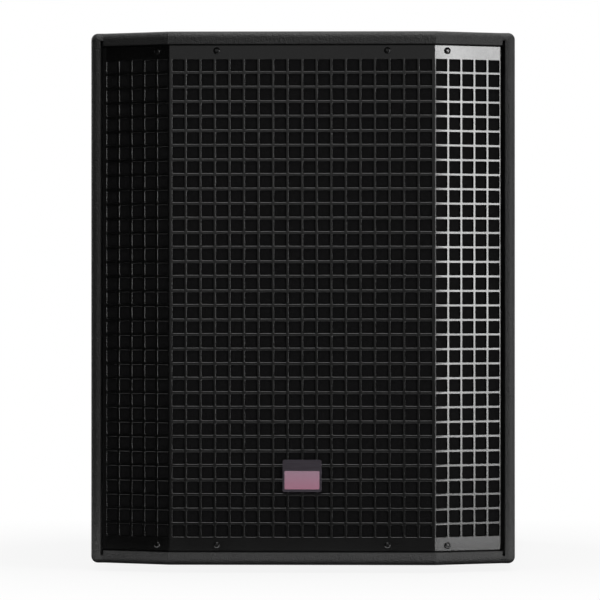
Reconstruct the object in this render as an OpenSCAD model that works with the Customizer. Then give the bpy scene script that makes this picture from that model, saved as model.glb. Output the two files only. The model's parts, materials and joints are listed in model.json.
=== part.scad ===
// Active bass-reflex subwoofer cabinet: plywood box with a bay front behind a bent perforated grille.
// Millimetres. X to the right, Y to the back, Z up, origin on the floor under the middle of the box.

/* [Cabinet] */
// Outside width
body_w = 440; // [430:5:460]
// Outside height, without the feet
body_h = 550; // [545:5:600]
// Outside depth, from the front lip to the rear edge
body_d = 600; // [590:5:660]
// Thickness of the outer panels
panel_t = 13; // [12:1:15]
// Radius of the outer edges
edge_r = 7; // [4:1:7]
// Depth of the grooves that house one panel in another
housing = 5; // [3:1:6]
// Thickness of the baffle
baffle_t = 18; // [15:1:20]
// Height of the rubber feet
foot_h = 8; // [6:1:12]

/* [Grille] */
// Width of the flat middle of the grille
flat_w = 274; // [260:2:280]
// Angle of the two wings
wing_angle = 25; // [25:1:30]
// Depth of the grille behind the front lip
lip = 5; // [4:1:8]
// Thickness of the sheet
sheet_t = 1.5; // [1:0.1:2]
// Distance from hole to hole
pitch = 15; // [14:0.5:18]
// Side of the square holes
hole = 12; // [9:0.5:12]
// Height of the plain strip along the top and bottom
strip = 13; // [12:1:16]
// Thickness of the foam behind the sheet
foam_t = 6; // [4:1:6]

/* [Driver] */
// Radius of the basket flange
flange_r = 194; // [192:1:196]
// Radius of the ring of bolts
bolt_ring_r = 186; // [185:0.5:186]
// Number of bolts
bolt_count = 8; // [4:4:8]
// Radius of the voice coil former
coil_r = 49.8; // [49:0.1:50]
// Height of the port slot
port_h = 60; // [50:5:65]
// Length of the port shelf
port_len = 330; // [250:10:340]

/* [Handles and sockets] */
// Length of the handle dish
dish_w = 160; // [150:5:170]
// Height of the handle dish
dish_h = 100; // [96:2:110]
// Depth of the handle dish
dish_d = 55; // [50:1:60]
// Radius of the pole socket's bore
pole_r = 18; // [17.6:0.1:18.2]
// Depth of the pole socket's bore
pole_len = 85; // [70:5:90]

/* [Amplifier] */
// Width of the amplifier panel
amp_w = 300; // [296:2:310]
// Height of the amplifier panel
amp_h = 380; // [376:2:390]
// Number of heat sink fins
fin_count = 21; // [11:2:21]

/* [Hidden] */
$fn = 48;
e = 1;

// Cabinet lines
half_w = body_w / 2;
in_x = half_w - panel_t;
front_y = -body_d / 2;
rear_y = body_d / 2;
top_z = foot_h + body_h;
floor_z = foot_h + panel_t;
roof_z = top_z - panel_t;
mid_z = foot_h + body_h / 2;

// Bay front: lines parallel to the grille's outer face, d behind it
grille_y = front_y + lip;
function bend(d) = flat_w / 2 - d * tan(wing_angle / 2);
function bay_y(x, d) = grille_y + d + max(0, x - bend(d)) * tan(wing_angle);
side_front_y = bay_y(in_x, -lip);
side_d = rear_y - side_front_y;

// Flat middle of the top and bottom panels, inside their round edges
core_x = half_w - edge_r;
core_front = front_y + edge_r;
core_rear = rear_y - edge_r;
core_side = side_front_y + edge_r;
core_bend = bend(edge_r - lip);

// Rebates in the side panels for the grille
rebate_x = 3;
rebate_y = 12;
wing_x = in_x + rebate_x - 1.5;
wing_len = (wing_x - bend(0)) / cos(wing_angle);
grille_h = roof_z - floor_z - 2;
rows = floor((grille_h - 2 * strip + pitch - hole) / pitch);
flat_cols = floor((flat_w - 4 + pitch - hole) / pitch);
bend_bar = (pitch - hole) / 2;
wing_end = 3;
wing_cols = floor((wing_len + bend_bar - wing_end) / pitch);
batten_h = strip;
batten_d = 16;
grille_screw_z = grille_h / 2 - 6;
grille_screw_x = 88;
grille_screw_wing = 14;

// Inner woodwork
baffle_y = -245;
rear_panel_y = rear_y - 30 - panel_t;
shelf_z = floor_z + port_h;
baffle_z = shelf_z + panel_t;
brace_y = 135;
brace_bar = 20;

// Badge on the grille
badge_w = 40;
badge_h = 33;
badge_t = 2.2;
badge_z = foot_h + 92;
inlay_w = 36;
inlay_h = 19;
inlay_t = 0.8;
inlay_dz = -4.5;
stud_z = mid_z + round((badge_z - mid_z) / pitch) * pitch;

// Driver, in its own frame: z forward from the baffle's face
driver_z = mid_z + 37.5;
cutout_r = 177.5;
recess_d = 8;
rim_t = 6;
rim_in_r = 174;
land_r = 165;
basket_r = 176;
basket_t = 4;
seat_r = 100;
tee_hole_r = 4.3;
bolt_r = 3;
cone_rim_r = 147;
cone_rim_z = -3;
neck_r = coil_r + 0.1;
neck_z = -63;
cap_r = 62;
cap_rise = 18;
cone_slope = (cone_rim_z - neck_z) / (cone_rim_r - 7.5 - neck_r);
cap_z = neck_z + (cap_r - neck_r) * cone_slope + 0.2;
spider_z = -94;
seat_z = -114;
plate_t = 10;
magnet_t = 24;
magnet_r = 110;
back_t = 10;
pole_piece_r = coil_r - 1.6;

// Handles
handle_y = 30;
handle_z = 330;
dish_wall = 3;
dish_flange = 18;
dish_flange_t = 3;
grip_r = 10;
sleeve_r = 12;
grip_x = half_w - sleeve_r - 2;
grip_dz = 22;

// Pole socket and feet
pole_y = -15;
pole_wall = 2.5;
pole_flange = 100;
pole_flange_t = 3;
pole_screw = 40;
foot_r = 19;
foot_x = 185;
foot_front_y = -130;
foot_rear_y = 262;
foot_head_z = 1.5;

// Countersunk wood screw, and the height of every screw's point
point_h = 2;
csk_r = 4;
csk_h = 2.2;
csk_shank_r = 2;
csk_len = 14;

// Pan head screw
pan_r = 3.6;
pan_h = 2;
pan_shank_r = 1.9;
pan_len = 14;

// Amplifier module: gasket, cover flange and panel lie on the rear panel
amp_z = mid_z;
gasket_t = 2;
cover_t = 1.5;
amp_t = 3;
gasket_y = rear_panel_y + panel_t;
flange_y = gasket_y + gasket_t;
amp_y = flange_y + cover_t;
face_y = amp_y + amp_t;
opening_w = amp_w - 30;
opening_h = amp_h - 30;
cover_w = opening_w - 8;
cover_h = opening_h - 8;
cover_d = 100;
amp_screw_x = amp_w / 2 - 8;
amp_screw_step = (amp_h - 16) / 4;
sink_w = 270;
sink_h = 200;
sink_z = amp_z + 79;
sink_base = 4;
fin_h = 14;
fin_t = 2.5;

// Places of the controls on the amplifier panel
socket_z = amp_z - 65;
socket_x = [112, 78, 44, 10];
level_x = -45;
crossover_x = -88;
button_x = -118;
knob_z = amp_z - 68;
lens_x = [-35, -45, -55];
lens_z = amp_z - 40;
inlet_x = -105;
switch_x = -55;
power_z = amp_z - 142;

// Sockets
shell_r = 11.8;
cavity_r = 9.4;
cavity_depth = 14;
insert_r = 7.6;
contact_ring = 4.6;
contact_r = 1.2;
socket_d = 20;
socket_w = 26;
socket_h = 31;
latch_w = 6.2;
latch_y0 = 11;
latch_h = 3.2;

// Knobs and their spindles
knob_r = 10;
knob_h = 13;
spindle_r = 3;
bush_r = 4.5;
board_y = face_y - 28;
board_t = 1.6;
pot_d = 9;
bush_end = 3;

// Mains inlet with fuse drawer
inlet_w = 32;
inlet_h = 50;
inlet_d = 26;
inlet_face = 3;
cavity_w = 24;
cavity_h = 16;
cavity_d = 16;
cavity_dz = 9;
drawer_w = 24;
drawer_h = 11;
drawer_d = 20;
drawer_dz = -14;
gap = 0.3;
fuse_len = 20;
fuse_r = 2.6;

// Power switch
bezel_w = 25;
bezel_h = 32;
bezel_t = 2;
switch_d = 20;
rocker_w = 16;
rocker_h = 22;
rocker_tilt = 8;
rocker_pin_r = 1.5;

// Speaker cable
cable_r = 3;
cable_sides = 8;
cable_steps = 4;
cable_hole_x = 90;
cable_hole_z = 330;
connector_y = 230;
cable_points = [[118, -137, 322], [118, -120, 322], [121, -70, 318], [122, -10, 312], [118, 50, 310],
                [110, 100, 314], [100, 135, 322], [92, 158, 329], [90, 172, 330], [90, 190, 330],
                [90, 230, 330]];

// Colours
paint = "#1d1d1e";
powder = "#232324";
ply = "#b08f62";
black = "#151516";
steel = "#9a9da0";
zinc = "#c2c3c0";
board_green = "#1f5a38";

// Rectangle with round corners
module round_rect(w, h, r) {
  square([w, h - 2 * r], center = true);
  square([w - 2 * r, h], center = true);
  for (x = [-1, 1], y = [-1, 1]) translate([x * (w / 2 - r), y * (h / 2 - r)]) circle(r);
}

// Profile in X and Z, drawn out from y0 to y1
module along_y(y0, y1) {
  translate([0, y1, 0]) rotate([90, 0, 0]) linear_extrude(y1 - y0) children();
}

// Profile in Y and Z, drawn out from x0 to x1
module along_x(x0, x1) {
  translate([x0, 0, 0]) rotate([90, 0, 90]) linear_extrude(x1 - x0) children();
}

// Driver's frame: z forward, y up
module at_driver() {
  translate([0, baffle_y, driver_z]) rotate([90, 0, 0]) children();
}

// Frame on the amplifier panel's face, seen from behind: x right, y up, z out
module on_panel(x, z) {
  translate([x, face_y, z]) rotate([90, 0, 180]) children();
}

module ring(r_in, r_out, z0, z1) {
  translate([0, 0, z0]) difference() {
    cylinder(r = r_out, h = z1 - z0);
    translate([0, 0, -e]) cylinder(r = r_in, h = z1 - z0 + 2 * e);
  }
}

// Places of the driver's bolts
module around_bolts() {
  for (k = [0 : bolt_count - 1]) rotate([0, 0, (k + 0.5) * 360 / bolt_count])
    translate([bolt_ring_r, 0, 0]) children();
}

// Countersunk screw, its face at z = 0 and its point down
module csk_screw() {
  rotate_extrude() polygon([[0, 0], [csk_r, 0], [csk_shank_r, -csk_h], [csk_shank_r, point_h - csk_len],
                            [0, -csk_len]]);
}

// Hole that the countersunk screw lies in
module csk_hole(depth) {
  translate([0, 0, -csk_h - 0.1]) cylinder(r1 = csk_shank_r + 0.1, r2 = csk_r + 0.1, h = csk_h + 0.1);
  cylinder(r = csk_r + 0.1, h = 3 * e);
  translate([0, 0, -depth]) cylinder(r = csk_shank_r + 0.1, h = depth);
}

module csk_pilot() {
  translate([0, 0, -csk_len - 0.5]) cylinder(r = csk_shank_r + 0.1, h = csk_len + 0.5);
}

// Pan head screw, its seat at z = 0 and its point down
module pan_screw() {
  rotate_extrude() {
    intersection() {
      translate([0, pan_h - pan_r * 1.6]) circle(pan_r * 1.6);
      square([pan_r, pan_h]);
    }
    polygon([[0, 0.1], [pan_shank_r, 0.1], [pan_shank_r, point_h - pan_len], [0, -pan_len]]);
  }
}

module pan_hole() {
  translate([0, 0, -pan_len - 0.5]) cylinder(r = pan_shank_r + 0.1, h = pan_len + 3);
}

// Plan of the right-hand side, its outer front and rear edges round
module side_plan() {
  translate([in_x, side_front_y]) intersection() {
    square([panel_t, side_d]);
    union() {
      translate([0, edge_r]) square([panel_t, side_d - 2 * edge_r]);
      square([panel_t - edge_r, side_d]);
      for (y = [edge_r, side_d - edge_r]) translate([panel_t - edge_r, y]) circle(edge_r);
    }
  }
}

// Section of a round edge, a strip as wide as the edge radius
module edge_section() {
  square([edge_r, panel_t - edge_r]);
  translate([0, panel_t - edge_r]) intersection() {
    circle(edge_r);
    square(edge_r);
  }
}

// Round edge of length l along x, its outer side towards -y
module edge_run(l) {
  along_x(0, l) mirror([1, 0]) edge_section();
}

// Round edge that turns a square corner about the z axis, from the -y side to the +x side
module edge_turn() {
  rotate([0, 0, -90]) rotate_extrude(angle = 90) edge_section();
}

// Everything behind a front edge that is round along x
module behind_edge() {
  along_x(-body_w, body_w) {
    mirror([1, 0]) edge_section();
    square([body_d, panel_t]);
  }
}

// Round front of the bay, its ends buried in the panel
module bay_edge() {
  x = core_x - 2;
  intersection() {
    translate([-x, front_y, 0]) cube([2 * x, core_side + edge_r - front_y, panel_t]);
    translate([0, core_front, 0]) behind_edge();
    translate([core_bend, core_front, 0]) rotate([0, 0, wing_angle]) behind_edge();
    translate([-core_bend, core_front, 0]) rotate([0, 0, -wing_angle]) behind_edge();
  }
}

// Round edges of the right-hand side of the panel, from inside the bay to the middle of the rear
module side_edges() {
  translate([in_x - panel_t, core_side, 0]) edge_run(core_x - in_x + panel_t);
  translate([core_x, core_side, 0]) {
    edge_turn();
    rotate([0, 0, 90]) edge_run(core_rear - core_side);
  }
  translate([core_x, core_rear, 0]) rotate([0, 0, 90]) {
    edge_turn();
    rotate([0, 0, 90]) edge_run(core_x);
  }
}

// Top or bottom panel: inner face at z = 0, rebated for the sides and grooved for the rear panel
module end_panel() {
  difference() {
    union() {
      linear_extrude(panel_t) polygon([
        [-core_x, core_side], [core_x, core_side], [core_x, core_rear], [-core_x, core_rear]]);
      bay_edge();
      for (s = [0, 1]) mirror([s, 0, 0]) side_edges();
    }
    for (s = [0, 1]) mirror([s, 0, 0])
      translate([in_x, side_front_y - e, -e]) cube([panel_t + e, side_d + 2 * e, housing + e]);
    translate([-in_x - e, rear_panel_y, -e]) cube([2 * (in_x + e), panel_t, housing + e]);
  }
}

module at_pole() {
  translate([0, pole_y, top_z]) children();
}

module around_pole_screws() {
  for (x = [-1, 1], y = [-1, 1]) translate([x * pole_screw, y * pole_screw, 0]) children();
}

module at_feet() {
  for (s = [-1, 1], y = [foot_front_y, foot_rear_y]) translate([s * foot_x, y, 0]) children();
}

module top_panel() {
  color(paint) difference() {
    translate([0, 0, roof_z]) end_panel();
    translate([-in_x - e, baffle_y, roof_z - e]) cube([2 * (in_x + e), baffle_t, housing + e]);
    at_pole() {
      translate([0, 0, -pole_flange_t]) linear_extrude(2 * pole_flange_t)
        round_rect(pole_flange + 0.4, pole_flange + 0.4, 8.2);
      translate([0, 0, -panel_t - e]) cylinder(r = pole_r + pole_wall + 0.3, h = panel_t + 2 * e);
      around_pole_screws() csk_pilot();
    }
  }
}

module bottom_panel() {
  color(paint) difference() {
    translate([0, 0, floor_z]) mirror([0, 0, 1]) end_panel();
    at_feet() translate([0, 0, foot_head_z]) rotate([180, 0, 0]) csk_pilot();
  }
}

// Places of a handle's screws, z out of the right-hand side
module around_handle_screws() {
  y = (dish_w + dish_flange) / 2;
  z = (dish_h + dish_flange) / 2;
  for (p = [[-y, -z], [-y, z], [y, -z], [y, z], [0, -z], [0, z]])
    translate([half_w, handle_y + p[0], handle_z + p[1]]) rotate([0, 90, 0]) children();
}

// Outline of a handle's dish or flange in Y and Z
module dish_outline(grow, r) {
  translate([handle_y, handle_z]) round_rect(dish_w + grow, dish_h + grow, r);
}

// Right-hand side panel: grooved for the baffle, shelf and rear panel, cut out for the handle
module side_panel() {
  side_z = floor_z - housing;
  side_h = roof_z - floor_z + 2 * housing;
  difference() {
    translate([0, 0, side_z]) linear_extrude(side_h) difference() {
      side_plan();
      translate([in_x - e, side_front_y - e]) square([rebate_x + e, rebate_y + e]);
      translate([in_x - e, rear_panel_y]) square([housing + e, panel_t]);
    }
    translate([in_x - e, baffle_y, shelf_z]) cube([housing + e, baffle_t, body_h]);
    translate([in_x - e, baffle_y, shelf_z]) cube([housing + e, port_len, panel_t]);
    along_x(in_x - e, half_w + e) dish_outline(0.6, 12.3);
    along_x(half_w - dish_flange_t, half_w + e) dish_outline(2 * dish_flange + 0.6, 14.3);
    around_handle_screws() csk_pilot();
  }
}

module right_side_panel() {
  color(paint) side_panel();
}

module left_side_panel() {
  color(paint) mirror([1, 0, 0]) side_panel();
}

// Places of the amplifier panel's screws, z out of the back
module around_amp_screws() {
  for (s = [-1, 1], k = [-2 : 2]) translate([s * amp_screw_x, face_y, amp_z + k * amp_screw_step])
    rotate([-90, 0, 0]) children();
}

module rear_panel() {
  color(paint) difference() {
    translate([-in_x - housing, rear_panel_y, floor_z - housing])
      cube([2 * (in_x + housing), panel_t, roof_z - floor_z + 2 * housing]);
    along_y(rear_panel_y - e, gasket_y + e) translate([0, amp_z]) round_rect(opening_w, opening_h, 6);
    around_amp_screws() pan_hole();
  }
}

module front_baffle() {
  color(black) difference() {
    translate([-in_x - housing, baffle_y, baffle_z])
      cube([2 * (in_x + housing), baffle_t, roof_z + housing - baffle_z]);
    at_driver() {
      translate([0, 0, -baffle_t - e]) cylinder(r = cutout_r, h = baffle_t + 2 * e);
      translate([0, 0, -recess_d]) cylinder(r = flange_r + 0.5, h = recess_d + e);
      around_bolts() translate([0, 0, -baffle_t - e]) cylinder(r = tee_hole_r, h = baffle_t);
    }
  }
}

module port_shelf() {
  color(black) translate([-in_x - housing, baffle_y, shelf_z])
    cube([2 * (in_x + housing), port_len, panel_t]);
}

module port_brace() {
  color(ply) translate([-panel_t / 2, baffle_y + 10, floor_z]) cube([panel_t, port_len - 20, port_h]);
}

// Brace with four windows across the middle of the box
module window_brace() {
  inner_h = roof_z - floor_z;
  window_w = in_x - 2 * brace_bar;
  window_h = inner_h / 2 - 2 * brace_bar;
  color(ply) along_y(brace_y, brace_y + panel_t) translate([0, mid_z]) difference() {
    square([2 * in_x, inner_h], center = true);
    for (x = [-1, 1], z = [-1, 1]) translate([x * in_x / 2, z * inner_h / 4])
      round_rect(window_w, window_h, 20);
  }
}

// Places of the grille's screws along one strip, z out of the sheet
module along_grille_screws(z) {
  for (s = [-1, 1]) {
    translate([s * grille_screw_x, grille_y, z]) rotate([90, 0, 0]) children();
    translate([s * bend(0), grille_y, z]) rotate([0, 0, s * wing_angle])
      translate([s * grille_screw_wing, 0, 0]) rotate([90, 0, 0]) children();
  }
}

// Wooden strip behind the grille, its front following the bay
module grille_batten(z) {
  back = sheet_t + batten_d;
  turn_x = bend(back) + (baffle_y - grille_y - back) / tan(wing_angle);
  translate([0, 0, z]) linear_extrude(batten_h)
    polygon([[-in_x, bay_y(in_x, sheet_t)], [-bend(sheet_t), grille_y + sheet_t],
             [bend(sheet_t), grille_y + sheet_t], [in_x, bay_y(in_x, sheet_t)], [in_x, baffle_y],
             [turn_x, baffle_y], [bend(back), grille_y + back], [-bend(back), grille_y + back],
             [-turn_x, baffle_y], [-in_x, baffle_y]]);
}

module top_grille_batten() {
  color(black) difference() {
    grille_batten(roof_z - batten_h);
    along_grille_screws(mid_z + grille_screw_z) pan_hole();
  }
}

module bottom_grille_batten() {
  color(black) difference() {
    grille_batten(floor_z);
    along_grille_screws(mid_z - grille_screw_z) pan_hole();
  }
}

// Block of square cutters, its first column at x0 and the rows centred on z = 0
module perforation(cols, x0) {
  for (i = [0 : cols - 1], k = [0 : rows - 1])
    translate([x0 + i * pitch, -2 * sheet_t, (k - (rows - 1) / 2) * pitch - hole / 2])
      cube([hole, 5 * sheet_t, hole]);
}

// One steel sheet with two bends
module grille() {
  flat_x0 = -(flat_cols * pitch - pitch + hole) / 2;
  back_x = wing_x - sheet_t * sin(wing_angle);
  color(powder) difference() {
    translate([0, 0, mid_z]) difference() {
      linear_extrude(grille_h, center = true)
        polygon([[-wing_x, bay_y(wing_x, 0)], [-bend(0), grille_y], [bend(0), grille_y],
                 [wing_x, bay_y(wing_x, 0)], [back_x, bay_y(back_x, sheet_t)],
                 [bend(sheet_t), grille_y + sheet_t], [-bend(sheet_t), grille_y + sheet_t],
                 [-back_x, bay_y(back_x, sheet_t)]]);
      translate([0, grille_y, 0]) perforation(flat_cols, flat_x0);
      for (s = [0, 1]) mirror([s, 0, 0]) translate([bend(0), grille_y, 0]) rotate([0, 0, wing_angle])
        perforation(wing_cols, bend_bar);
    }
    for (s = [-1, 1]) along_grille_screws(mid_z + s * grille_screw_z) pan_hole();
  }
}

// Acoustic foam sheet a hair behind the grille, between the battens
module grille_foam() {
  foam_x = in_x - 2;
  front = sheet_t + 0.01;
  back = sheet_t + foam_t;
  foam_z = floor_z + batten_h + 0.5;
  color("#0c0c0d") difference() {
    translate([0, 0, foam_z]) linear_extrude(roof_z - batten_h - 0.5 - foam_z)
      polygon([[-foam_x, bay_y(foam_x, front)], [-bend(front), grille_y + front],
               [bend(front), grille_y + front], [foam_x, bay_y(foam_x, front)],
               [foam_x, bay_y(foam_x, back)], [bend(back), grille_y + back],
               [-bend(back), grille_y + back], [-foam_x, bay_y(foam_x, back)]]);
    at_badge_studs() cylinder(r = 2.4, h = 5);
  }
}

module grille_screws() {
  color(black) for (s = [-1, 1]) along_grille_screws(mid_z + s * grille_screw_z) pan_screw();
}

// Places of the badge's studs, z backwards from the grille's face
module at_badge_studs() {
  for (s = [-1, 1]) translate([s * pitch / 2, grille_y, stud_z]) rotate([-90, 0, 0]) children();
}

module badge() {
  color("#4a464b") {
    difference() {
      along_y(grille_y - badge_t, grille_y) translate([0, badge_z]) round_rect(badge_w, badge_h, 2);
      along_y(grille_y - badge_t - e, grille_y - badge_t + inlay_t)
        translate([0, badge_z + inlay_dz]) round_rect(inlay_w + 0.2, inlay_h + 0.2, 1.1);
    }
    at_badge_studs() translate([0, 0, -e]) cylinder(r = 2, h = e + 4);
  }
}

module badge_inlay() {
  color("#a26c80") along_y(grille_y - badge_t, grille_y - badge_t + inlay_t)
    translate([0, badge_z + inlay_dz]) round_rect(inlay_w, inlay_h, 1);
}

// Blind steel cup with a square flange, let in flush with the top
module pole_socket() {
  color(black) at_pole() difference() {
    union() {
      translate([0, 0, -pole_flange_t]) linear_extrude(pole_flange_t)
        round_rect(pole_flange, pole_flange, 8);
      translate([0, 0, -pole_len - pole_wall]) cylinder(r = pole_r + pole_wall, h = pole_len + pole_wall);
    }
    translate([0, 0, -pole_len]) cylinder(r = pole_r, h = pole_len + e);
    around_pole_screws() csk_hole(panel_t);
  }
}

// Right-hand dish with two bosses that hold the ends of the grip
module handle_dish() {
  boss_h = 6;
  difference() {
    union() {
      difference() {
        union() {
          along_x(half_w - dish_flange_t, half_w) dish_outline(2 * dish_flange, 14);
          along_x(half_w - dish_d, half_w) dish_outline(0, 12);
        }
        along_x(half_w - dish_d + dish_wall, half_w + e) dish_outline(-2 * dish_wall, 9);
      }
      for (s = [0, 1]) translate([grip_x, handle_y, handle_z + grip_dz]) mirror([0, s, 0])
        translate([0, dish_w / 2 - dish_wall / 2, 0]) rotate([90, 0, 0])
          cylinder(r = sleeve_r + 1, h = boss_h + dish_wall / 2);
    }
    translate([grip_x, handle_y, handle_z + grip_dz]) rotate([90, 0, 0])
      cylinder(r = grip_r + 0.1, h = dish_w - 2 * dish_wall - 1, center = true);
    around_handle_screws() csk_hole(panel_t);
  }
}

// Bar of the handle with a thicker sleeve
module handle_grip() {
  half = dish_w / 2 - dish_wall - 1;
  sleeve = half - 8;
  translate([grip_x, handle_y, handle_z + grip_dz]) rotate([90, 0, 0]) rotate_extrude()
    polygon([[0, -half], [grip_r, -half], [grip_r, -sleeve], [sleeve_r, 3 - sleeve], [sleeve_r, sleeve - 3],
             [grip_r, sleeve], [grip_r, half], [0, half]]);
}

module right_handle_dish() {
  color(black) handle_dish();
}

module left_handle_dish() {
  color(black) mirror([1, 0, 0]) handle_dish();
}

module right_handle_grip() {
  color("#202022") handle_grip();
}

module left_handle_grip() {
  color("#202022") mirror([1, 0, 0]) handle_grip();
}

// Screws of the handles, the pole socket and the feet
module fixing_screws() {
  color("#2a2a2b") {
    for (s = [0, 1]) mirror([s, 0, 0]) around_handle_screws() csk_screw();
    at_pole() around_pole_screws() csk_screw();
    at_feet() translate([0, 0, foot_head_z]) rotate([180, 0, 0]) csk_screw();
  }
}

module rubber_feet() {
  color("#18181a") at_feet() difference() {
    rotate_extrude() polygon([[0, 0], [foot_r - 3, 0], [foot_r - 2, 1], [foot_r, foot_h], [0, foot_h]]);
    translate([0, 0, foot_head_z]) rotate([180, 0, 0]) csk_hole(foot_h + e);
  }
}

module driver_gasket() {
  color("#2b2b2b") at_driver() difference() {
    ring(cutout_r + 0.5, flange_r, -recess_d, -rim_t);
    around_bolts() translate([0, 0, -recess_d - e]) cylinder(r = tee_hole_r, h = 2 * recess_d);
  }
}

// Cast basket: rim, open cone wall with eight windows, spider ledge and magnet seat
module driver_basket() {
  windows = 8;
  spread = tan(15);
  knee_z = -24;
  foot_z = spider_z + 2;
  ledge_r = 86;
  hub_r = 54;
  t = basket_t;
  color("#26272a") at_driver() difference() {
    rotate_extrude()
      polygon([[rim_in_r, 0], [flange_r, 0], [flange_r, -rim_t], [basket_r, -rim_t], [basket_r, knee_z],
               [seat_r, foot_z], [seat_r, seat_z], [hub_r, seat_z], [hub_r, seat_z + t],
               [seat_r - t - 1, seat_z + t], [seat_r - t - 1, spider_z - t], [ledge_r, spider_z - t],
               [ledge_r, spider_z], [seat_r - t, spider_z], [seat_r - t, foot_z + 2],
               [basket_r - t, knee_z + 2], [basket_r - t, cone_rim_z - t], [land_r, cone_rim_z - t],
               [land_r, cone_rim_z], [rim_in_r, cone_rim_z]]);
    around_bolts() translate([0, 0, -rim_t - e]) cylinder(r = bolt_r + 0.3, h = rim_t + 2 * e);
    for (k = [0 : windows - 1]) rotate([0, 0, k * 360 / windows]) translate([0, 0, foot_z + 8])
      linear_extrude(knee_z - foot_z - 16)
        polygon([[ledge_r, -ledge_r * spread], [flange_r, -flange_r * spread],
                 [flange_r, flange_r * spread], [ledge_r, ledge_r * spread]]);
  }
}

// Half ring in section, open side down or up
module half_roll(r, x, z, up) {
  t = 0.8;
  translate([x, z]) intersection() {
    difference() {
      circle(r + t / 2);
      circle(r - t / 2);
    }
    translate([-2 * r, up ? 0 : -2 * r]) square([4 * r, 2 * r]);
  }
}

// Treated cloth surround with two rolls
module driver_surround() {
  roll_r = 4.75;
  land_t = 0.8;
  z = cone_rim_z + land_t / 2;
  color("#303032") at_driver() rotate_extrude() {
    translate([cone_rim_r - 7, cone_rim_z]) square([7.4, land_t]);
    for (k = [0, 1]) half_roll(roll_r, cone_rim_r + (2 * k + 1) * roll_r, z, true);
    translate([cone_rim_r + 2 * roll_r - 0.4, cone_rim_z]) square([0.8, land_t]);
    translate([cone_rim_r + 4 * roll_r - 0.4, cone_rim_z]) square([7.4, land_t]);
  }
}

// Straight paper cone with a flat rim under the surround
module driver_cone() {
  color("#1b1b1c") at_driver() rotate_extrude()
    polygon([[cone_rim_r, cone_rim_z], [cone_rim_r, cone_rim_z - 1.6], [cone_rim_r - 7, cone_rim_z - 1.6],
             [neck_r, neck_z - 3], [neck_r, neck_z], [cone_rim_r - 7.5, cone_rim_z]]);
}

// Domed cap over the former
module dust_cap() {
  t = 1.2;
  sphere_r = (cap_r * cap_r + cap_rise * cap_rise) / (2 * cap_rise);
  color("#1b1b1c") at_driver() translate([0, 0, cap_z]) rotate_extrude() intersection() {
    translate([0, cap_rise - sphere_r]) difference() {
      circle(sphere_r);
      circle(sphere_r - t);
    }
    square([cap_r, cap_rise]);
  }
}

module voice_coil_former() {
  color("#c8a46a") at_driver() ring(coil_r - 0.6, coil_r, -133, neck_z + 1);
}

module voice_coil_winding() {
  color("#b5652c") at_driver() ring(coil_r + 0.05, coil_r + 1.6, -131, -107);
}

// Corrugated disc that centres the coil
module driver_spider() {
  waves = 4;
  x0 = 54;
  wave_r = 31 / (2 * waves);
  land_t = 0.8;
  z = spider_z + land_t / 2;
  color("#b98d3a") at_driver() rotate_extrude() {
    translate([coil_r + 0.05, spider_z]) square([x0 + 0.4 - coil_r - 0.05, land_t]);
    for (k = [0 : waves - 1]) {
      half_roll(wave_r, x0 + (2 * k + 1) * wave_r, z, k % 2 == 0);
      translate([x0 + 2 * (k + 1) * wave_r - 0.4, spider_z]) square([0.8, land_t]);
    }
    translate([x0 + 2 * waves * wave_r - 0.4, spider_z]) square([10, land_t]);
  }
}

module driver_top_plate() {
  color(zinc) at_driver() ring(coil_r + 2.8, 105, seat_z - plate_t, seat_z);
}

module driver_magnet() {
  color("#2d2d30") at_driver() ring(58, magnet_r, seat_z - plate_t - magnet_t, seat_z - plate_t);
}

// Back plate and vented pole in one piece
module driver_pole_yoke() {
  vent_r = 18;
  yoke_r = 105;
  back_z = seat_z - plate_t - magnet_t;
  end_z = back_z - back_t;
  tip_z = seat_z + 2;
  color(zinc) at_driver() rotate_extrude()
    polygon([[vent_r, end_z], [yoke_r - 5, end_z], [yoke_r, end_z + 4], [yoke_r, back_z],
             [pole_piece_r, back_z], [pole_piece_r, seat_z], [pole_piece_r - 2, tip_z], [vent_r, tip_z]]);
}

// Terminal block on the side of the magnet seat, with two tags
module driver_terminals() {
  y = baffle_y - spider_z + 4;
  color("#3a2a1c") difference() {
    union() {
      translate([98, y, driver_z - 14]) cube([26, 10, 28]);
      for (s = [-1, 1]) translate([111, y + 9, driver_z + s * 9 - 2]) cube([1.6, 8, 4]);
    }
    at_driver() translate([0, 0, seat_z - e]) cylinder(r = 100, h = 40);
  }
}

module driver_bolts() {
  color(black) at_driver() around_bolts() {
    cylinder(r = bolt_r + 2, h = 5);
    translate([0, 0, -30]) cylinder(r = bolt_r, h = 30.5);
  }
}

module driver_tee_nuts() {
  color(steel) at_driver() around_bolts() difference() {
    union() {
      translate([0, 0, -baffle_t - 1.5]) cylinder(r = 2 * tee_hole_r, h = 1.5);
      translate([0, 0, -baffle_t - 0.5]) cylinder(r = tee_hole_r - 0.1, h = 9);
    }
    translate([0, 0, -baffle_t - 2]) cylinder(r = bolt_r + 0.05, h = 12);
  }
}

// Point at u, from 0 to 1, on the smooth curve through p[i] and p[i + 1]
function smooth(p, i, u) =
  let (a = p[max(i - 1, 0)], b = p[i], c = p[i + 1], d = p[min(i + 2, len(p) - 1)])
  b + u * ((c - a) / 2 + u * ((a - 2.5 * b + 2 * c - d / 2) + u * (1.5 * (b - c) + (d - a) / 2)));

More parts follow.
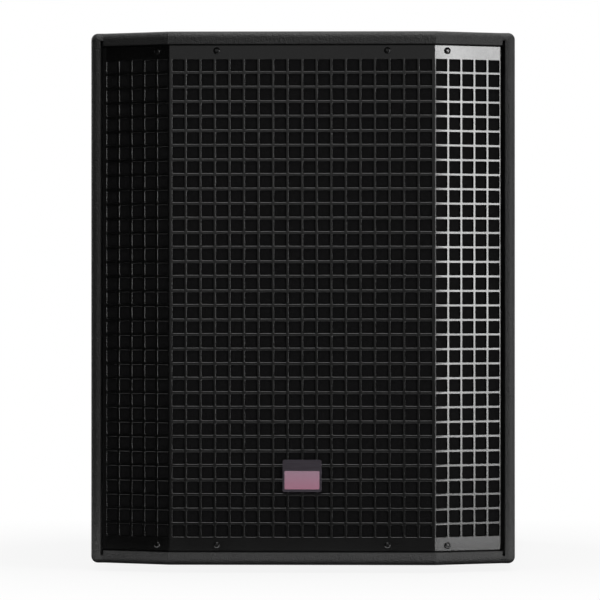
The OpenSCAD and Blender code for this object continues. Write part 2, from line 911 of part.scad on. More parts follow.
// Tube along the points, which run towards +Y
module cable(points, r, sides, steps) {
  last = len(points) - 1;
  path = [for (i = [0 : last - 1], k = [0 : steps - 1]) smooth(points, i, k / steps), points[last]];
  n = len(path);
  rings = [for (i = [0 : n - 1])
    let (run = i == 0 || i == n - 1 ? [0, 1, 0] : path[i + 1] - path[i - 1], t = run / norm(run),
         u = cross(t, [0, 0, 1]) / norm(cross(t, [0, 0, 1])), v = cross(u, t))
    for (k = [0 : sides - 1]) path[i] + r * (cos(k * 360 / sides) * u + sin(k * 360 / sides) * v)];
  walls = [for (i = [0 : n - 2], k = [0 : sides - 1])
    let (a = i * sides + k, b = i * sides + (k + 1) % sides)
    each [[a, b, a + sides], [b, b + sides, a + sides]]];
  ends = [for (k = [1 : sides - 2]) each [[0, k + 1, k], [(n - 1) * sides, (n - 1) * sides + k,
                                                         (n - 1) * sides + k + 1]]];
  polyhedron(rings, concat(walls, ends));
}

module speaker_cable() {
  color("#141415") cable(cable_points, cable_r, cable_sides, cable_steps);
}

module amp_outline(w, h, r) {
  translate([0, amp_z]) round_rect(w, h, r);
}

// Aluminium panel that carries the sockets and controls
module amp_panel() {
  color("#2a2b2d") difference() {
    along_y(amp_y, face_y) amp_outline(amp_w, amp_h, 6);
    around_amp_screws() pan_hole();
    for (x = socket_x) on_panel(x, socket_z) translate([0, 0, -amp_t - e])
      cylinder(r = shell_r + 0.2, h = amp_t + 2 * e);
    for (x = [socket_x[0], socket_x[1]]) on_panel(x, socket_z)
      translate([-latch_w / 2 - 2 * gap, 0, -amp_t - e])
        cube([latch_w + 4 * gap, latch_y0 + latch_h + 3 * gap, amp_t + 2 * e]);
    for (x = [level_x, crossover_x, button_x]) on_panel(x, knob_z) translate([0, 0, -amp_t - e])
      cylinder(r = bush_r + 0.4, h = amp_t + 2 * e);
    for (x = lens_x) on_panel(x, lens_z) translate([0, 0, -amp_t - e]) cylinder(r = 2.6, h = amp_t + 2 * e);
    on_panel(inlet_x, power_z) translate([0, 0, -amp_t - e]) linear_extrude(amp_t + 2 * e)
      square([inlet_w - 3.4, inlet_h - 5.4], center = true);
    on_panel(switch_x, power_z) translate([0, 0, -amp_t - e]) linear_extrude(amp_t + 2 * e)
      square([bezel_w - 2.6, bezel_h - 2.6], center = true);
  }
}

module amp_gasket() {
  color("#101010") difference() {
    along_y(gasket_y, flange_y) difference() {
      amp_outline(amp_w, amp_h, 6);
      amp_outline(opening_w + 2, opening_h + 2, 6);
    }
    around_amp_screws() pan_hole();
  }
}

// Steel box round the electronics, its flange under the panel
module amp_cover() {
  color(steel) difference() {
    union() {
      along_y(flange_y, amp_y) amp_outline(amp_w - 2, amp_h - 2, 6);
      along_y(amp_y - cover_d, amp_y) amp_outline(cover_w, cover_h, 5);
    }
    along_y(amp_y - cover_d + cover_t, amp_y + e)
      amp_outline(cover_w - 2 * cover_t, cover_h - 2 * cover_t, 4);
    around_amp_screws() pan_hole();
    translate([cable_hole_x, amp_y - cover_d - e, cable_hole_z]) rotate([-90, 0, 0])
      cylinder(r = cable_r + 1, h = 4 * e);
  }
}

module heat_sink() {
  step = (sink_w - fin_t) / (fin_count - 1);
  color("#1c1c1e") union() {
    translate([-sink_w / 2, face_y, sink_z - sink_h / 2]) cube([sink_w, sink_base, sink_h]);
    for (k = [0 : fin_count - 1])
      translate([-sink_w / 2 + k * step, face_y + sink_base - e, sink_z - sink_h / 2])
        cube([fin_t, fin_h + e, sink_h]);
  }
}

module amp_screws() {
  color(black) around_amp_screws() pan_screw();
}

// Amplifier and switching supply: board on four posts, with its parts towards the box
module amplifier_board() {
  board_w = 230;
  board_h = 150;
  board_z = amp_z + 85;
  parts_y = connector_y + 20;
  post_x = board_w / 2 - 8;
  post_z = board_h / 2 - 8;
  color(board_green) union() {
    translate([-board_w / 2, parts_y, board_z - board_h / 2]) cube([board_w, board_t, board_h]);
    for (x = [-1, 1], z = [-1, 1]) translate([x * post_x, parts_y + 1, board_z + z * post_z])
      rotate([-90, 0, 0]) cylinder(r = 3, h = amp_y - parts_y - 1);
    translate([cable_hole_x - 8, connector_y, cable_hole_z - 6]) cube([16, 21, 12]);
    translate([-60, parts_y - 34, board_z - 20]) cube([44, 35, 40]);
    for (k = [0 : 3]) translate([-98 + 24 * k, parts_y + 0.5, board_z + 52]) rotate([90, 0, 0])
      cylinder(r = 11, h = 36);
    for (k = [0, 1]) translate([20 + 36 * k, parts_y + 0.5, board_z + 10]) rotate([90, 0, 0])
      cylinder(r = 15, h = 20);
    translate([-100, parts_y - 24, board_z - 60]) cube([150, 25, 12]);
  }
}

// Board behind the knobs, with two potentiometers and the button's switch
module control_board() {
  board_w = 106;
  board_h = 60;
  bush_len = face_y + bush_end - board_y;
  color(board_green) difference() {
    union() {
      translate([button_x - 9, board_y - board_t, knob_z - 22]) cube([board_w, board_t, board_h]);
      for (x = [level_x, crossover_x]) {
        translate([x - 8.5, board_y - 0.5, knob_z - 8.5]) cube([17, pot_d + 0.5, 17]);
        translate([x, board_y, knob_z]) rotate([-90, 0, 0]) cylinder(r = bush_r, h = bush_len);
      }
      translate([button_x - 5, board_y - 0.5, knob_z - 5]) cube([10, 14.5, 10]);
    }
    for (x = [level_x, crossover_x]) translate([x, board_y + 6, knob_z]) rotate([-90, 0, 0])
      cylinder(r = spindle_r + 0.06, h = bush_len);
    translate([button_x, board_y + 4, knob_z]) rotate([-90, 0, 0]) cylinder(r = 2.3, h = 20);
  }
}

// Flange and shell that every chassis socket shares
module socket_shell() {
  linear_extrude(2) round_rect(socket_w, socket_h, 3);
  translate([0, 0, -socket_d - amp_t]) cylinder(r = shell_r, h = socket_d + amp_t + 3.5);
}

// Three contacts round the socket's axis
module around_contacts() {
  for (a = [90, 210, 330]) rotate([0, 0, a]) translate([contact_ring, 0, 0]) children();
}

// Socket with a slot for the release latch, and its insert with three contact holes
module input_socket() {
  insert_h = cavity_depth + 2;
  color(black) {
    difference() {
      socket_shell();
      translate([0, 0, -cavity_depth]) cylinder(r = cavity_r, h = cavity_depth + 5);
      translate([-latch_w / 2 - gap, latch_y0 - gap, -9]) cube([latch_w + 2 * gap, latch_h + 2 * gap, 15]);
    }
    translate([0, 0, 0.05 - cavity_depth]) difference() {
      cylinder(r = insert_r, h = insert_h);
      around_contacts() translate([0, 0, insert_h / 2]) cylinder(r = contact_r + 0.3, h = insert_h);
    }
  }
}

// Socket with three pins in a round cavity
module link_socket() {
  color(black) {
    difference() {
      socket_shell();
      translate([0, 0, -cavity_depth]) cylinder(r = cavity_r, h = cavity_depth + 5);
    }
    translate([0, 0, -cavity_depth - 0.5]) around_contacts() cylinder(r = contact_r, h = cavity_depth - 1);
  }
}

module input_latch() {
  color(zinc) translate([-latch_w / 2, latch_y0, -6]) cube([latch_w, latch_h, 9.5]);
}

module left_input_socket() {
  on_panel(socket_x[0], socket_z) input_socket();
}

module right_input_socket() {
  on_panel(socket_x[1], socket_z) input_socket();
}

module left_link_socket() {
  on_panel(socket_x[2], socket_z) link_socket();
}

module right_link_socket() {
  on_panel(socket_x[3], socket_z) link_socket();
}

module left_input_latch() {
  on_panel(socket_x[0], socket_z) input_latch();
}

module right_input_latch() {
  on_panel(socket_x[1], socket_z) input_latch();
}

// Fluted knob with its spindle, pointer groove up
module knob() {
  flutes = 18;
  base = bush_end + 0.7;
  color("#1a1a1b") difference() {
    union() {
      translate([0, 0, base]) rotate_extrude()
        polygon([[0, 0], [knob_r, 0], [knob_r, knob_h - 1.5], [knob_r - 1.5, knob_h], [0, knob_h]]);
      translate([0, 0, -20]) cylinder(r = spindle_r, h = 20 + base + e);
    }
    for (k = [0.5 : flutes]) rotate([0, 0, 90 + k * 360 / flutes]) translate([knob_r + 0.5, 0, base + 2])
      cylinder(r = 1.2, h = knob_h);
    translate([-0.6, 2, base + knob_h - 0.8]) cube([1.2, knob_r, 2]);
  }
}

module level_knob() {
  on_panel(level_x, knob_z) knob();
}

module crossover_knob() {
  on_panel(crossover_x, knob_z) knob();
}

module polarity_button() {
  color("#c9c9c4") on_panel(button_x, knob_z) {
    translate([0, 0, -10]) cylinder(r = bush_r, h = 15);
    translate([0, 0, -18]) cylinder(r = 2, h = 9);
  }
}

// Bezel and body of the power switch, bored for the rocker's pins
module power_switch_body() {
  color(black) on_panel(switch_x, power_z) difference() {
    union() {
      linear_extrude(bezel_t) round_rect(bezel_w, bezel_h, 2);
      translate([0, 0, -switch_d]) linear_extrude(switch_d + e)
        square([bezel_w - 3, bezel_h - 3], center = true);
    }
    translate([0, 0, -12]) linear_extrude(20) square([rocker_w + 2 * gap, rocker_h + 2.4], center = true);
    rotate([0, 90, 0]) cylinder(r = rocker_pin_r + 0.06, h = bezel_w - 5, center = true);
  }
}

// Rocker on two stub pins, resting with its lower end out
module power_rocker() {
  color("#1f1f20") on_panel(switch_x, power_z) rotate([-rocker_tilt, 0, 0]) rotate([90, 0, 90]) {
    linear_extrude(rocker_w, center = true)
      polygon([[-rocker_h / 2, -4], [rocker_h / 2, -4], [rocker_h / 2, 5], [0, 3.2], [-rocker_h / 2, 5]]);
    cylinder(r = rocker_pin_r, h = bezel_w - 6, center = true);
  }
}

// Appliance inlet with three blades, over the slot of the fuse drawer
module mains_inlet() {
  color(black) on_panel(inlet_x, power_z) {
    difference() {
      union() {
        linear_extrude(inlet_face) round_rect(inlet_w, inlet_h, 3);
        translate([0, 0, -inlet_d]) linear_extrude(inlet_d + e)
          square([inlet_w - 4, inlet_h - 6], center = true);
      }
      translate([0, cavity_dz, inlet_face - cavity_d]) linear_extrude(cavity_d + e)
        round_rect(cavity_w, cavity_h, 3);
      translate([0, drawer_dz, inlet_face - drawer_d - 1]) linear_extrude(drawer_d + 2 * e)
        square([drawer_w, drawer_h], center = true);
    }
    for (p = [[-7, -3], [7, -3], [0, 4]]) translate([p[0], cavity_dz + p[1], inlet_face - cavity_d - 0.5])
      translate([-1, -2, 0]) cube([2, 4, 13]);
  }
}

// Drawer with a finger lip and a trough for the fuse
module fuse_drawer() {
  w = drawer_w - 2 * gap;
  h = drawer_h - 2 * gap;
  color("#222223") on_panel(inlet_x, power_z) translate([0, drawer_dz, inlet_face]) difference() {
    union() {
      translate([-w / 2, -h / 2, -drawer_d]) cube([w, h, drawer_d + 1]);
      translate([-6, h / 2 - 2, 0]) cube([12, 2, 2.5]);
    }
    translate([-fuse_len / 2 - 0.4, -fuse_r - 0.3, -drawer_d + 3])
      cube([fuse_len + 0.8, h, 2 * fuse_r + 0.6]);
  }
}

module fuse() {
  color("#d8d6cc") on_panel(inlet_x, power_z)
    translate([0, drawer_dz, inlet_face - drawer_d + 3.3 + fuse_r]) rotate([0, 90, 0])
      cylinder(r = fuse_r, h = fuse_len, center = true);
}

// Three round lenses held by their rims behind the panel
module status_lenses() {
  color("#5fae6c") for (x = lens_x) on_panel(x, lens_z) {
    translate([0, 0, -amp_t - 1]) cylinder(r = 3.4, h = 1);
    translate([0, 0, -amp_t - 0.5]) cylinder(r = 2.5, h = amp_t + 1.5);
    translate([0, 0, 1]) intersection() {
      translate([0, 0, -1.5]) sphere(2.9);
      cylinder(r = 2.5, h = 3);
    }
  }
}

top_panel();
bottom_panel();
left_side_panel();
right_side_panel();
rear_panel();
front_baffle();
port_shelf();
port_brace();
window_brace();
top_grille_batten();
bottom_grille_batten();
grille();
grille_foam();
grille_screws();
badge();
badge_inlay();
pole_socket();
left_handle_dish();
right_handle_dish();
left_handle_grip();
right_handle_grip();
fixing_screws();
rubber_feet();
driver_gasket();
driver_basket();
driver_surround();
driver_cone();
dust_cap();
voice_coil_former();
voice_coil_winding();
driver_spider();
driver_top_plate();
driver_magnet();
driver_pole_yoke();
driver_terminals();
driver_bolts();
driver_tee_nuts();
speaker_cable();
amp_panel();
amp_gasket();
amp_cover();
heat_sink();
amp_screws();
amplifier_board();
control_board();
left_input_socket();
right_input_socket();
left_link_socket();
right_link_socket();
left_input_latch();
right_input_latch();
level_knob();
crossover_knob();
polarity_button();
power_switch_body();
power_rocker();
mains_inlet();
fuse_drawer();
fuse();
status_lenses();
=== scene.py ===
import json
import math
from functools import partial

import bmesh
import bpy
import numpy as np
from mathutils import Matrix, Vector

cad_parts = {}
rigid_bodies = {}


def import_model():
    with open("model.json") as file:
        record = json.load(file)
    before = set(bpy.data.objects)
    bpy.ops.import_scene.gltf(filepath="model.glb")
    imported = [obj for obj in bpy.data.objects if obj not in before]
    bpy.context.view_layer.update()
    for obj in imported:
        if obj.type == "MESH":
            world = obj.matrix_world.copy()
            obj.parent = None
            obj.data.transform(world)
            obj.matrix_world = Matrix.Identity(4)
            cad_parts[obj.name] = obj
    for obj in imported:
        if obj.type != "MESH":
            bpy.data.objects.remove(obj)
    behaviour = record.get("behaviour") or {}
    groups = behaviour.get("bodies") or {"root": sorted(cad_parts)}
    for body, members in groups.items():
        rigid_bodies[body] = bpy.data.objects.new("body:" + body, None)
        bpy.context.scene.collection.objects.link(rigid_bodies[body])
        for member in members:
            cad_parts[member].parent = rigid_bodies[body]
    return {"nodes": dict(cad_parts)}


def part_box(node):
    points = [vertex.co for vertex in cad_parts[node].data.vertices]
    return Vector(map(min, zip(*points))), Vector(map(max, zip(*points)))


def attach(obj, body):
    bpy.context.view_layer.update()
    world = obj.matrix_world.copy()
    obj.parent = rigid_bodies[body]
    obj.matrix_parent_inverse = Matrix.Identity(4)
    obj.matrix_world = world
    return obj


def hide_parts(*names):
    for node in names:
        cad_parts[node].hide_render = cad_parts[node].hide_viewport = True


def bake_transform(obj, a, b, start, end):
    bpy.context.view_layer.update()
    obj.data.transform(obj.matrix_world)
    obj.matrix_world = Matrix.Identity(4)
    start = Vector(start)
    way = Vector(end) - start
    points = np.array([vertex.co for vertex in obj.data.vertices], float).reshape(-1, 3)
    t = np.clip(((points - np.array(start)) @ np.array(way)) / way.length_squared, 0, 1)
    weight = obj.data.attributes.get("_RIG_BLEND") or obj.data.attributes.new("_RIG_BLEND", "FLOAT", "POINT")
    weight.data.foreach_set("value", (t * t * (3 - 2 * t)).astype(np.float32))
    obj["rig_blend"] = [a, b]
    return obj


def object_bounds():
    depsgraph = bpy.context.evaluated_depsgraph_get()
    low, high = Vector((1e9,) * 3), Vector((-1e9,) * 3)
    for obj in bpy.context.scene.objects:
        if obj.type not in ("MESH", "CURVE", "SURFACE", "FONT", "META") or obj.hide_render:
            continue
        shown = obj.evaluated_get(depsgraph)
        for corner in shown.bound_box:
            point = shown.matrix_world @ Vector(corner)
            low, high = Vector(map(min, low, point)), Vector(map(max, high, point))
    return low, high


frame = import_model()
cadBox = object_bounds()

scene = bpy.context.scene
nodes = frame["nodes"]
frontY = cadBox[0].y
grilleLow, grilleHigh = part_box("grille")
grilleMiddle = (grilleLow.z + grilleHigh.z) / 2
mm = 0.001
print("frame loaded:", len(nodes), "nodes")


def operators(operation):
    # one operator of a wire and its reflected form
    return (lambda wire, other: wire.math(operation, wire, other),
            lambda wire, other: wire.math(operation, other, wire))


class Wire:
    # one socket of a node tree, so that node maths reads as Python
    def __init__(self, tree, socket=None):
        self.tree = tree
        self.socket = socket

    def node(self, kind, inputs=None, out=0, **settings):
        made = self.tree.nodes.new(kind)
        for name, value in settings.items():
            setattr(made, name, value)
        for key, value in (inputs or {}).items():
            for item in value if isinstance(value, list) else [value]:
                if isinstance(item, Wire):
                    self.tree.links.new(item.socket, made.inputs[key])
                else:
                    made.inputs[key].default_value = item
        return Wire(self.tree, made.outputs[out])

    def geo(self, kind, inputs=None, out=0, **settings):
        return self.node("GeometryNode" + kind, inputs, out, **settings)

    def math(self, operation, *values):
        return self.node("ShaderNodeMath", dict(enumerate(values)), operation=operation)

    __add__, __radd__ = operators("ADD")
    __sub__, __rsub__ = operators("SUBTRACT")
    __mul__, __rmul__ = operators("MULTIPLY")
    __truediv__, __rtruediv__ = operators("DIVIDE")

    # shorthand for the nodes that are used often
    def noise(self, place, scale, detail=2.0):
        # scale for each axis in a tuple, or one for all
        if isinstance(scale, tuple):
            place, scale = self.node("ShaderNodeMapping", {"Vector": place, "Scale": scale}), 1.0
        return self.node("ShaderNodeTexNoise", {"Vector": place, "Scale": scale, "Detail": detail})

    def cells(self, place, scale, out="Distance", **settings):
        return self.node("ShaderNodeTexVoronoi", {"Vector": place, "Scale": scale}, out, **settings)

    def axis(self, place, name):
        return self.node("ShaderNodeSeparateXYZ", {0: place}, name)

    def vector(self, x=0.0, y=0.0, z=0.0):
        return self.node("ShaderNodeCombineXYZ", {0: x, 1: y, 2: z})

    def distance(self, place, start=(0.0, 0.0, 0.0)):
        return self.node("ShaderNodeVectorMath", {0: place, 1: start}, "Value",
                         operation="DISTANCE")

    def wave(self, place, name, length):
        # a sine along one axis, its length in millimetres
        return self.math("SINE", self.axis(place, name) * (2 * math.pi / (length * mm)))

    def between(self, value, low, high):
        # 0 at low and below, 1 at high and above
        return self.node("ShaderNodeMapRange", {"Value": value, "From Min": low, "From Max": high})

    def weigh(self, first, second, share):
        return first * share + second * (1 - share)

    def mix(self, factor, first, second):
        return self.node("ShaderNodeMix", {0: factor, 6: first, 7: second}, 2, data_type="RGBA")

    def shade(self, factor, tones):
        return self.mix(factor, *(colour(tone) for tone in tones))

    def spin(self, angle):
        return self.node("FunctionNodeAxisAngleToRotation",
                         {"Axis": (0.0, 0.0, 1.0), "Angle": angle})

    def bump(self, height, depth):
        return self.node("ShaderNodeBump", {"Height": height, "Distance": depth, "Strength": 1.0})


def colour(tone):
    # from a grey level, or from red, green and blue
    return (*tone, 1.0) if isinstance(tone, tuple) else (tone, tone, tone, 1.0)


def addObject(name, data):
    made = bpy.data.objects.new(name, data)
    scene.collection.objects.link(made)
    return made


# Camera, at the photo's place and angle
shot = dict(frame=600, focal=4082.0, sensor=36.0, distance=4.2, yaw=1.4, shift=(1.9, 1.85),
            reach=60.0)

lens = bpy.data.cameras.new("camera")
lens.sensor_width = shot["sensor"]
lens.lens = shot["focal"] / shot["frame"] * shot["sensor"]
lens.shift_x, lens.shift_y = (-pixels / shot["frame"] for pixels in shot["shift"])
lens.clip_end = shot["reach"]
camera = addObject("camera", lens)
turn = math.radians(shot["yaw"])
camera.location = (shot["distance"] * math.sin(turn),
                   frontY - shot["distance"] * math.cos(turn), grilleMiddle)
camera.rotation_euler = (math.pi / 2, 0.0, turn)
scene.camera = camera
scene.view_settings.view_transform = "Standard"
print("camera set")


# Studio: white behind, dim in front, a narrow softbox at the right
studio = dict(
    ambient=0.45, fromRight=0.7, dim=0.006, white=(0.15, 0.6),
    card=0.54, cardAhead=(-0.88, -0.975), cardRise=(-0.24, 0.31),
)
floorLook = dict(
    size=30.0, tones=(0.8, 0.776), cloud=3.0, near=0.88, far=(0.35, 0.8), dim=0.015,
    white=(0.4, 1.2), bayHalf=0.137, baySlope=0.466,
    # painted light on the floor, seen only in reflections: a strip along the cabinet's front edge and a pool
    # near the softbox
    spill=1.8, paintedSpillFrom=(0.015, 0.04), paintedSpillTo=(0.1, 0.05),
    pool=0.8, paintedPoolPlace=(0.7, -0.75, 0.0), paintedPoolEdge=(0.55, 0.2),
)
lamps = dict(
    softbox=dict(place=(2.11, -1.9, 0.5), aim=(0.17, -0.27, 0.4), size=(0.4, 1.05), watts=15.0),
    overhead=dict(place=(0.2, -0.6, 2.3), aim=(0.0, -0.15, 0.5), size=(1.4, 1.2), watts=18.0),
    rear=dict(place=(-1.6, 2.6, 1.5), aim=(0.0, 0.2, 0.3), size=(1.4, 1.4), watts=30.0),
)


def newMaterial(name):
    made = bpy.data.materials.new(name)
    made.use_nodes = True
    return made, made.node_tree, Wire(made.node_tree)


def lightPath(root):
    # whether the camera sees it, and whether a mirror or glass does
    toCamera, glossy, through = (root.node("ShaderNodeLightPath", out="Is %s Ray" % kind)
                                 for kind in ("Camera", "Glossy", "Transmission"))
    return toCamera, root.math("MAXIMUM", glossy, through)


def makeWorld():
    spec = studio
    world = bpy.data.worlds.new("studio")
    scene.world = world
    world.use_nodes = True
    root = Wire(world.node_tree)
    toCamera, mirrored = lightPath(root)
    way = root.node("ShaderNodeTexCoord", out="Generated")
    side, heading, rise = (root.axis(way, name) for name in "XYZ")
    behind = root.between(heading, *spec["white"])
    ahead = root.between(heading, *spec["cardAhead"]) * root.between(rise, *spec["cardRise"])
    reflected = spec["dim"] + behind * (1 - spec["dim"]) + ahead * spec["card"]
    ambient = spec["ambient"] * (1 + side * spec["fromRight"])
    unseen = ambient * (1 - mirrored) + reflected * mirrored
    strength = toCamera + unseen * (1 - toCamera)
    back = world.node_tree.nodes["Background"]
    back.inputs["Color"].default_value = colour(1.0)
    world.node_tree.links.new(strength.socket, back.inputs["Strength"])


def makeFloor():
    spec = floorLook
    made, tree, root = newMaterial("paleFloor")
    tree.nodes.clear()
    toCamera, mirrored = lightPath(root)
    place = root.node("ShaderNodeTexCoord", out="Object")
    x, y = root.axis(place, "X"), root.axis(place, "Y")
    tone = root.shade(root.noise(place, spec["cloud"]), spec["tones"])
    matt = root.node("ShaderNodeBsdfDiffuse", {"Color": tone})
    # reflections see white behind, dim in front, a painted strip of light along the cabinet's front edge
    # and a painted pool of light where the softbox falls
    behind = root.between(y, *spec["white"])
    turned = root.math("MAXIMUM", root.math("ABSOLUTE", x) - spec["bayHalf"], 0.0)
    ahead = turned * spec["baySlope"] - y + frontY
    spill = root.between(ahead, *spec["paintedSpillFrom"]) * root.between(ahead, *spec["paintedSpillTo"])
    pool = root.between(root.distance(place, spec["paintedPoolPlace"]), *spec["paintedPoolEdge"])
    # brightness of the floor in reflections, with the painted strip and pool of light added
    lit = spec["dim"] + (1 - spec["dim"]) * behind + spec["spill"] * spill + spec["pool"] * pool
    seen = toCamera + (1 - toCamera) * lit
    white = root.node("ShaderNodeEmission", {"Color": colour(1.0), "Strength": seen})
    # close to the cabinet the camera sees a little of the shaded floor
    far = root.between(root.distance(place), *spec["far"])
    clear = spec["near"] + (1 - spec["near"]) * far
    factor = toCamera * clear + mirrored * (1 - toCamera)
    blend = root.node("ShaderNodeMixShader", {0: factor, 1: matt, 2: white})
    output = tree.nodes.new("ShaderNodeOutputMaterial")
    tree.links.new(blend.socket, output.inputs["Surface"])
    half = spec["size"] / 2
    corners = [(-half, -half, 0), (half, -half, 0), (half, half, 0), (-half, half, 0)]
    mesh = bpy.data.meshes.new("floor")
    mesh.from_pydata(corners, [], [(0, 1, 2, 3)])
    mesh.materials.append(made)
    floor = addObject("floor", mesh)


def makeLamps():
    for name, spec in lamps.items():
        light = bpy.data.lights.new(name, "AREA")
        light.shape = "RECTANGLE"
        light.size, light.size_y = spec["size"]
        light.energy = spec["watts"]
        lamp = addObject(name, light)
        lamp.location = spec["place"]
        away = Vector(spec["place"]) - Vector(spec["aim"])
        lamp.rotation_euler = away.to_track_quat("Z", "Y").to_euler()


makeWorld()
makeFloor()
makeLamps()
print("studio lit")


# Finishes: each varies in tone and roughness. Scales are per metre, lengths in millimetres.
finishes = {}
metal = {"Metallic": 1.0}


def makeFinish(name, build, spec, fixed=None):
    made, tree, root = newMaterial(name)
    shader = tree.nodes["Principled BSDF"]
    for socket, value in (fixed or {}).items():
        shader.inputs[socket].default_value = value
    place = root.node("ShaderNodeTexCoord", out="Object")
    for socket, wire in build(root, place, spec).items():
        tree.links.new(wire.socket, shader.inputs[socket])
    finishes[name] = made


def surface(root, spec, tone, height, wear=None):
    # tone leads from one colour to the other, and wear, or else tone, through the roughness
    start, end = spec["rough"]
    return {
        "Base Color": root.shade(tone, spec["tones"]),
        "Roughness": start + (end - start) * (wear or tone),
        "Normal": root.bump(height, spec["relief"] * mm),
    }


# coats, plastics and castings
speckKeys = ("tones", "rough", "grain", "patch", "relief")
speckContrast = (0.36, 0.64)
speckled = dict(
    powderCoat=((0.0016, 0.0032), (0.18, 0.23), 900, 14, 0.04),
    baffleBlack=((0.007, 0.012), (0.72, 0.85), 420, 9, 0.12),
    blackZinc=((0.012, 0.022), (0.32, 0.45), 1600, 60, 0.03),
    blackSteel=((0.010, 0.016), (0.36, 0.46), 1000, 20, 0.05),
    grainedPlastic=((0.009, 0.0145), (0.48, 0.6), 1100, 16, 0.14),
    gripRubber=((0.0085, 0.014), (0.62, 0.76), 1500, 30, 0.06),
    footRubber=((0.0075, 0.013), (0.7, 0.84), 1300, 40, 0.08),
    sealFoam=((0.010, 0.019), (0.84, 0.95), 2200, 50, 0.18),
    castCoat=((0.014, 0.023), (0.45, 0.58), 700, 24, 0.1),
    conePaper=((0.010, 0.020), (0.8, 0.92), 520, 30, 0.22),
    ferrite=((0.020, 0.034), (0.6, 0.74), 1400, 18, 0.08),
    fibreBoard=(((0.045, 0.021, 0.008), (0.075, 0.036, 0.014)), (0.6, 0.72), 1700, 90, 0.05),
    cableJacket=((0.007, 0.011), (0.5, 0.62), 900, 40, 0.05),
    blackNylon=((0.008, 0.0125), (0.4, 0.52), 1900, 60, 0.03),
    softTouch=((0.0075, 0.0115), (0.55, 0.68), 2100, 70, 0.03),
    greyPlastic=((0.42, 0.5), (0.4, 0.5), 1800, 80, 0.03),
    panelPrint=((0.58, 0.68), (0.5, 0.62), 2400, 150, 0.01),
    polyimide=(((0.48, 0.28, 0.10), (0.6, 0.38, 0.16)), (0.26, 0.36), 300, 30, 0.03),
)
speckledFixed = dict(powderCoat={"IOR": 1.75}, blackZinc={"Metallic": 0.6})


def speckle(root, place, spec):
    fine = root.noise(place, spec["grain"], detail=3.0)
    tone = root.between((fine + root.noise(place, spec["patch"])) / 2, *speckContrast)
    return surface(root, spec, tone, fine)


for name, row in speckled.items():
    makeFinish(name, speckle, dict(zip(speckKeys, row)), speckledFixed.get(name))


# sprayed paint with a texture of fine drops, a little polished where it is rubbed
paintLook = dict(tones=(0.0055, 0.0095), rough=(0.66, 0.62), relief=1.0, contrast=(0.35, 0.65),
                 drops=620.0, ripple=260.0, patch=16.0, rippleTone=0.6, rippleRelief=0.65)


def texturedPaint(root, place, spec):
    drops = root.cells(place, spec["drops"])
    ripple = root.noise(place, spec["ripple"], detail=3.0)
    rubbed = root.between(root.noise(place, spec["patch"], detail=4.0), *spec["contrast"])
    tone = root.weigh(root.between(ripple, *spec["contrast"]), rubbed, spec["rippleTone"])
    height = root.weigh(ripple, 0.0 - drops, spec["rippleRelief"])
    return surface(root, spec, tone, height, wear=rubbed)


makeFinish("texturedPaint", texturedPaint, paintLook, {"IOR": 1.95})

# metals with a direction: lines along x, y and z
brushKeys = ("tones", "rough", "lines")
brushLook = dict(relief=0.02, cloud=25.0, lineTone=0.7, contrast=(0.35, 0.65))
brushed = dict(
    zincPlate=(((0.42, 0.42, 0.39), (0.62, 0.62, 0.58)), (0.26, 0.4), (900, 60, 900)),
    nickel=(((0.42, 0.42, 0.40), (0.55, 0.54, 0.52)), (0.2, 0.3), (1800, 1800, 120)),
    badgeMetal=(((0.192, 0.167, 0.202), (0.28, 0.248, 0.295)), (0.34, 0.44), (60, 900, 2600)),
    blackAnodised=((0.014, 0.024), (0.36, 0.46), (24, 900, 2200)),
    finAnodised=((0.010, 0.018), (0.34, 0.44), (1500, 1500, 16)),
)


def grainLines(root, place, spec):
    lines = root.noise(place, spec["lines"], detail=3.0)
    mixed = root.weigh(lines, root.noise(place, spec["cloud"]), spec["lineTone"])
    return surface(root, spec, root.between(mixed, *spec["contrast"]), lines)


for name, row in brushed.items():
    makeFinish(name, grainLines, dict(zip(brushKeys, row), **brushLook), metal)

# zinc-dipped sheet with large flakes
zincLook = dict(tones=((0.27, 0.28, 0.29), (0.42, 0.43, 0.44)), rough=(0.3, 0.52), relief=0.04,
                flakes=110.0, ripple=300.0)


def galvanised(root, place, spec):
    flakes = root.cells(place, spec["flakes"], "Color")
    return surface(root, spec, root.axis(flakes, "X"), root.noise(place, spec["ripple"]))


makeFinish("galvanised", galvanised, zincLook, metal)

# cloths
weaveLook = dict(fuzz=700.0, threadTone=0.25, contrast=(0.25, 0.8))
woven = dict(
    treatedCloth=dict(tones=(0.014, 0.032), rough=(0.5, 0.68), thread=0.9, relief=0.12),
    spiderCloth=dict(tones=((0.30, 0.15, 0.025), (0.52, 0.29, 0.06)), rough=(0.6, 0.78),
                     thread=1.1, relief=0.16),
)


def weave(root, place, spec):
    across, up = (root.wave(place, name, spec["thread"]) for name in "XZ")
    threads = across * up
    fuzz = root.noise(place, spec["fuzz"], detail=3.0)
    tone = root.between(threads * spec["threadTone"] + fuzz, *spec["contrast"])
    return surface(root, spec, tone, threads)


for name, spec in woven.items():
    makeFinish(name, weave, dict(weaveLook, **spec))

# open-cell foam: pores between soft walls, the pores painted darker as painted shade in their hollows
foamLook = dict(tones=(0.0037, (0.0094, 0.0092, 0.0096)), rough=(0.88, 1.0), relief=0.6,
                pores=900.0, cloud=300.0, cloudTone=0.2, contrast=(0.15, 0.75))


def openFoam(root, place, spec):
    pores = root.cells(place, spec["pores"])
    cloud = root.noise(place, spec["cloud"]) * spec["cloudTone"]
    # the pores' darker tone is painted shade
    return surface(root, spec, root.between(pores + cloud, *spec["contrast"]), pores)


makeFinish("openFoam", openFoam, foamLook, {"Specular IOR Level": 0.06})

# birch plywood, its plies stacked along x
plyLook = dict(tones=((0.33, 0.20, 0.095), (0.52, 0.36, 0.19)), rough=(0.55, 0.7), relief=0.1,
               ply=2.8, plyEdge=(-0.4, 0.4), plyTone=0.35, grain=(900, 60, 9), contrast=(0.3, 0.7))


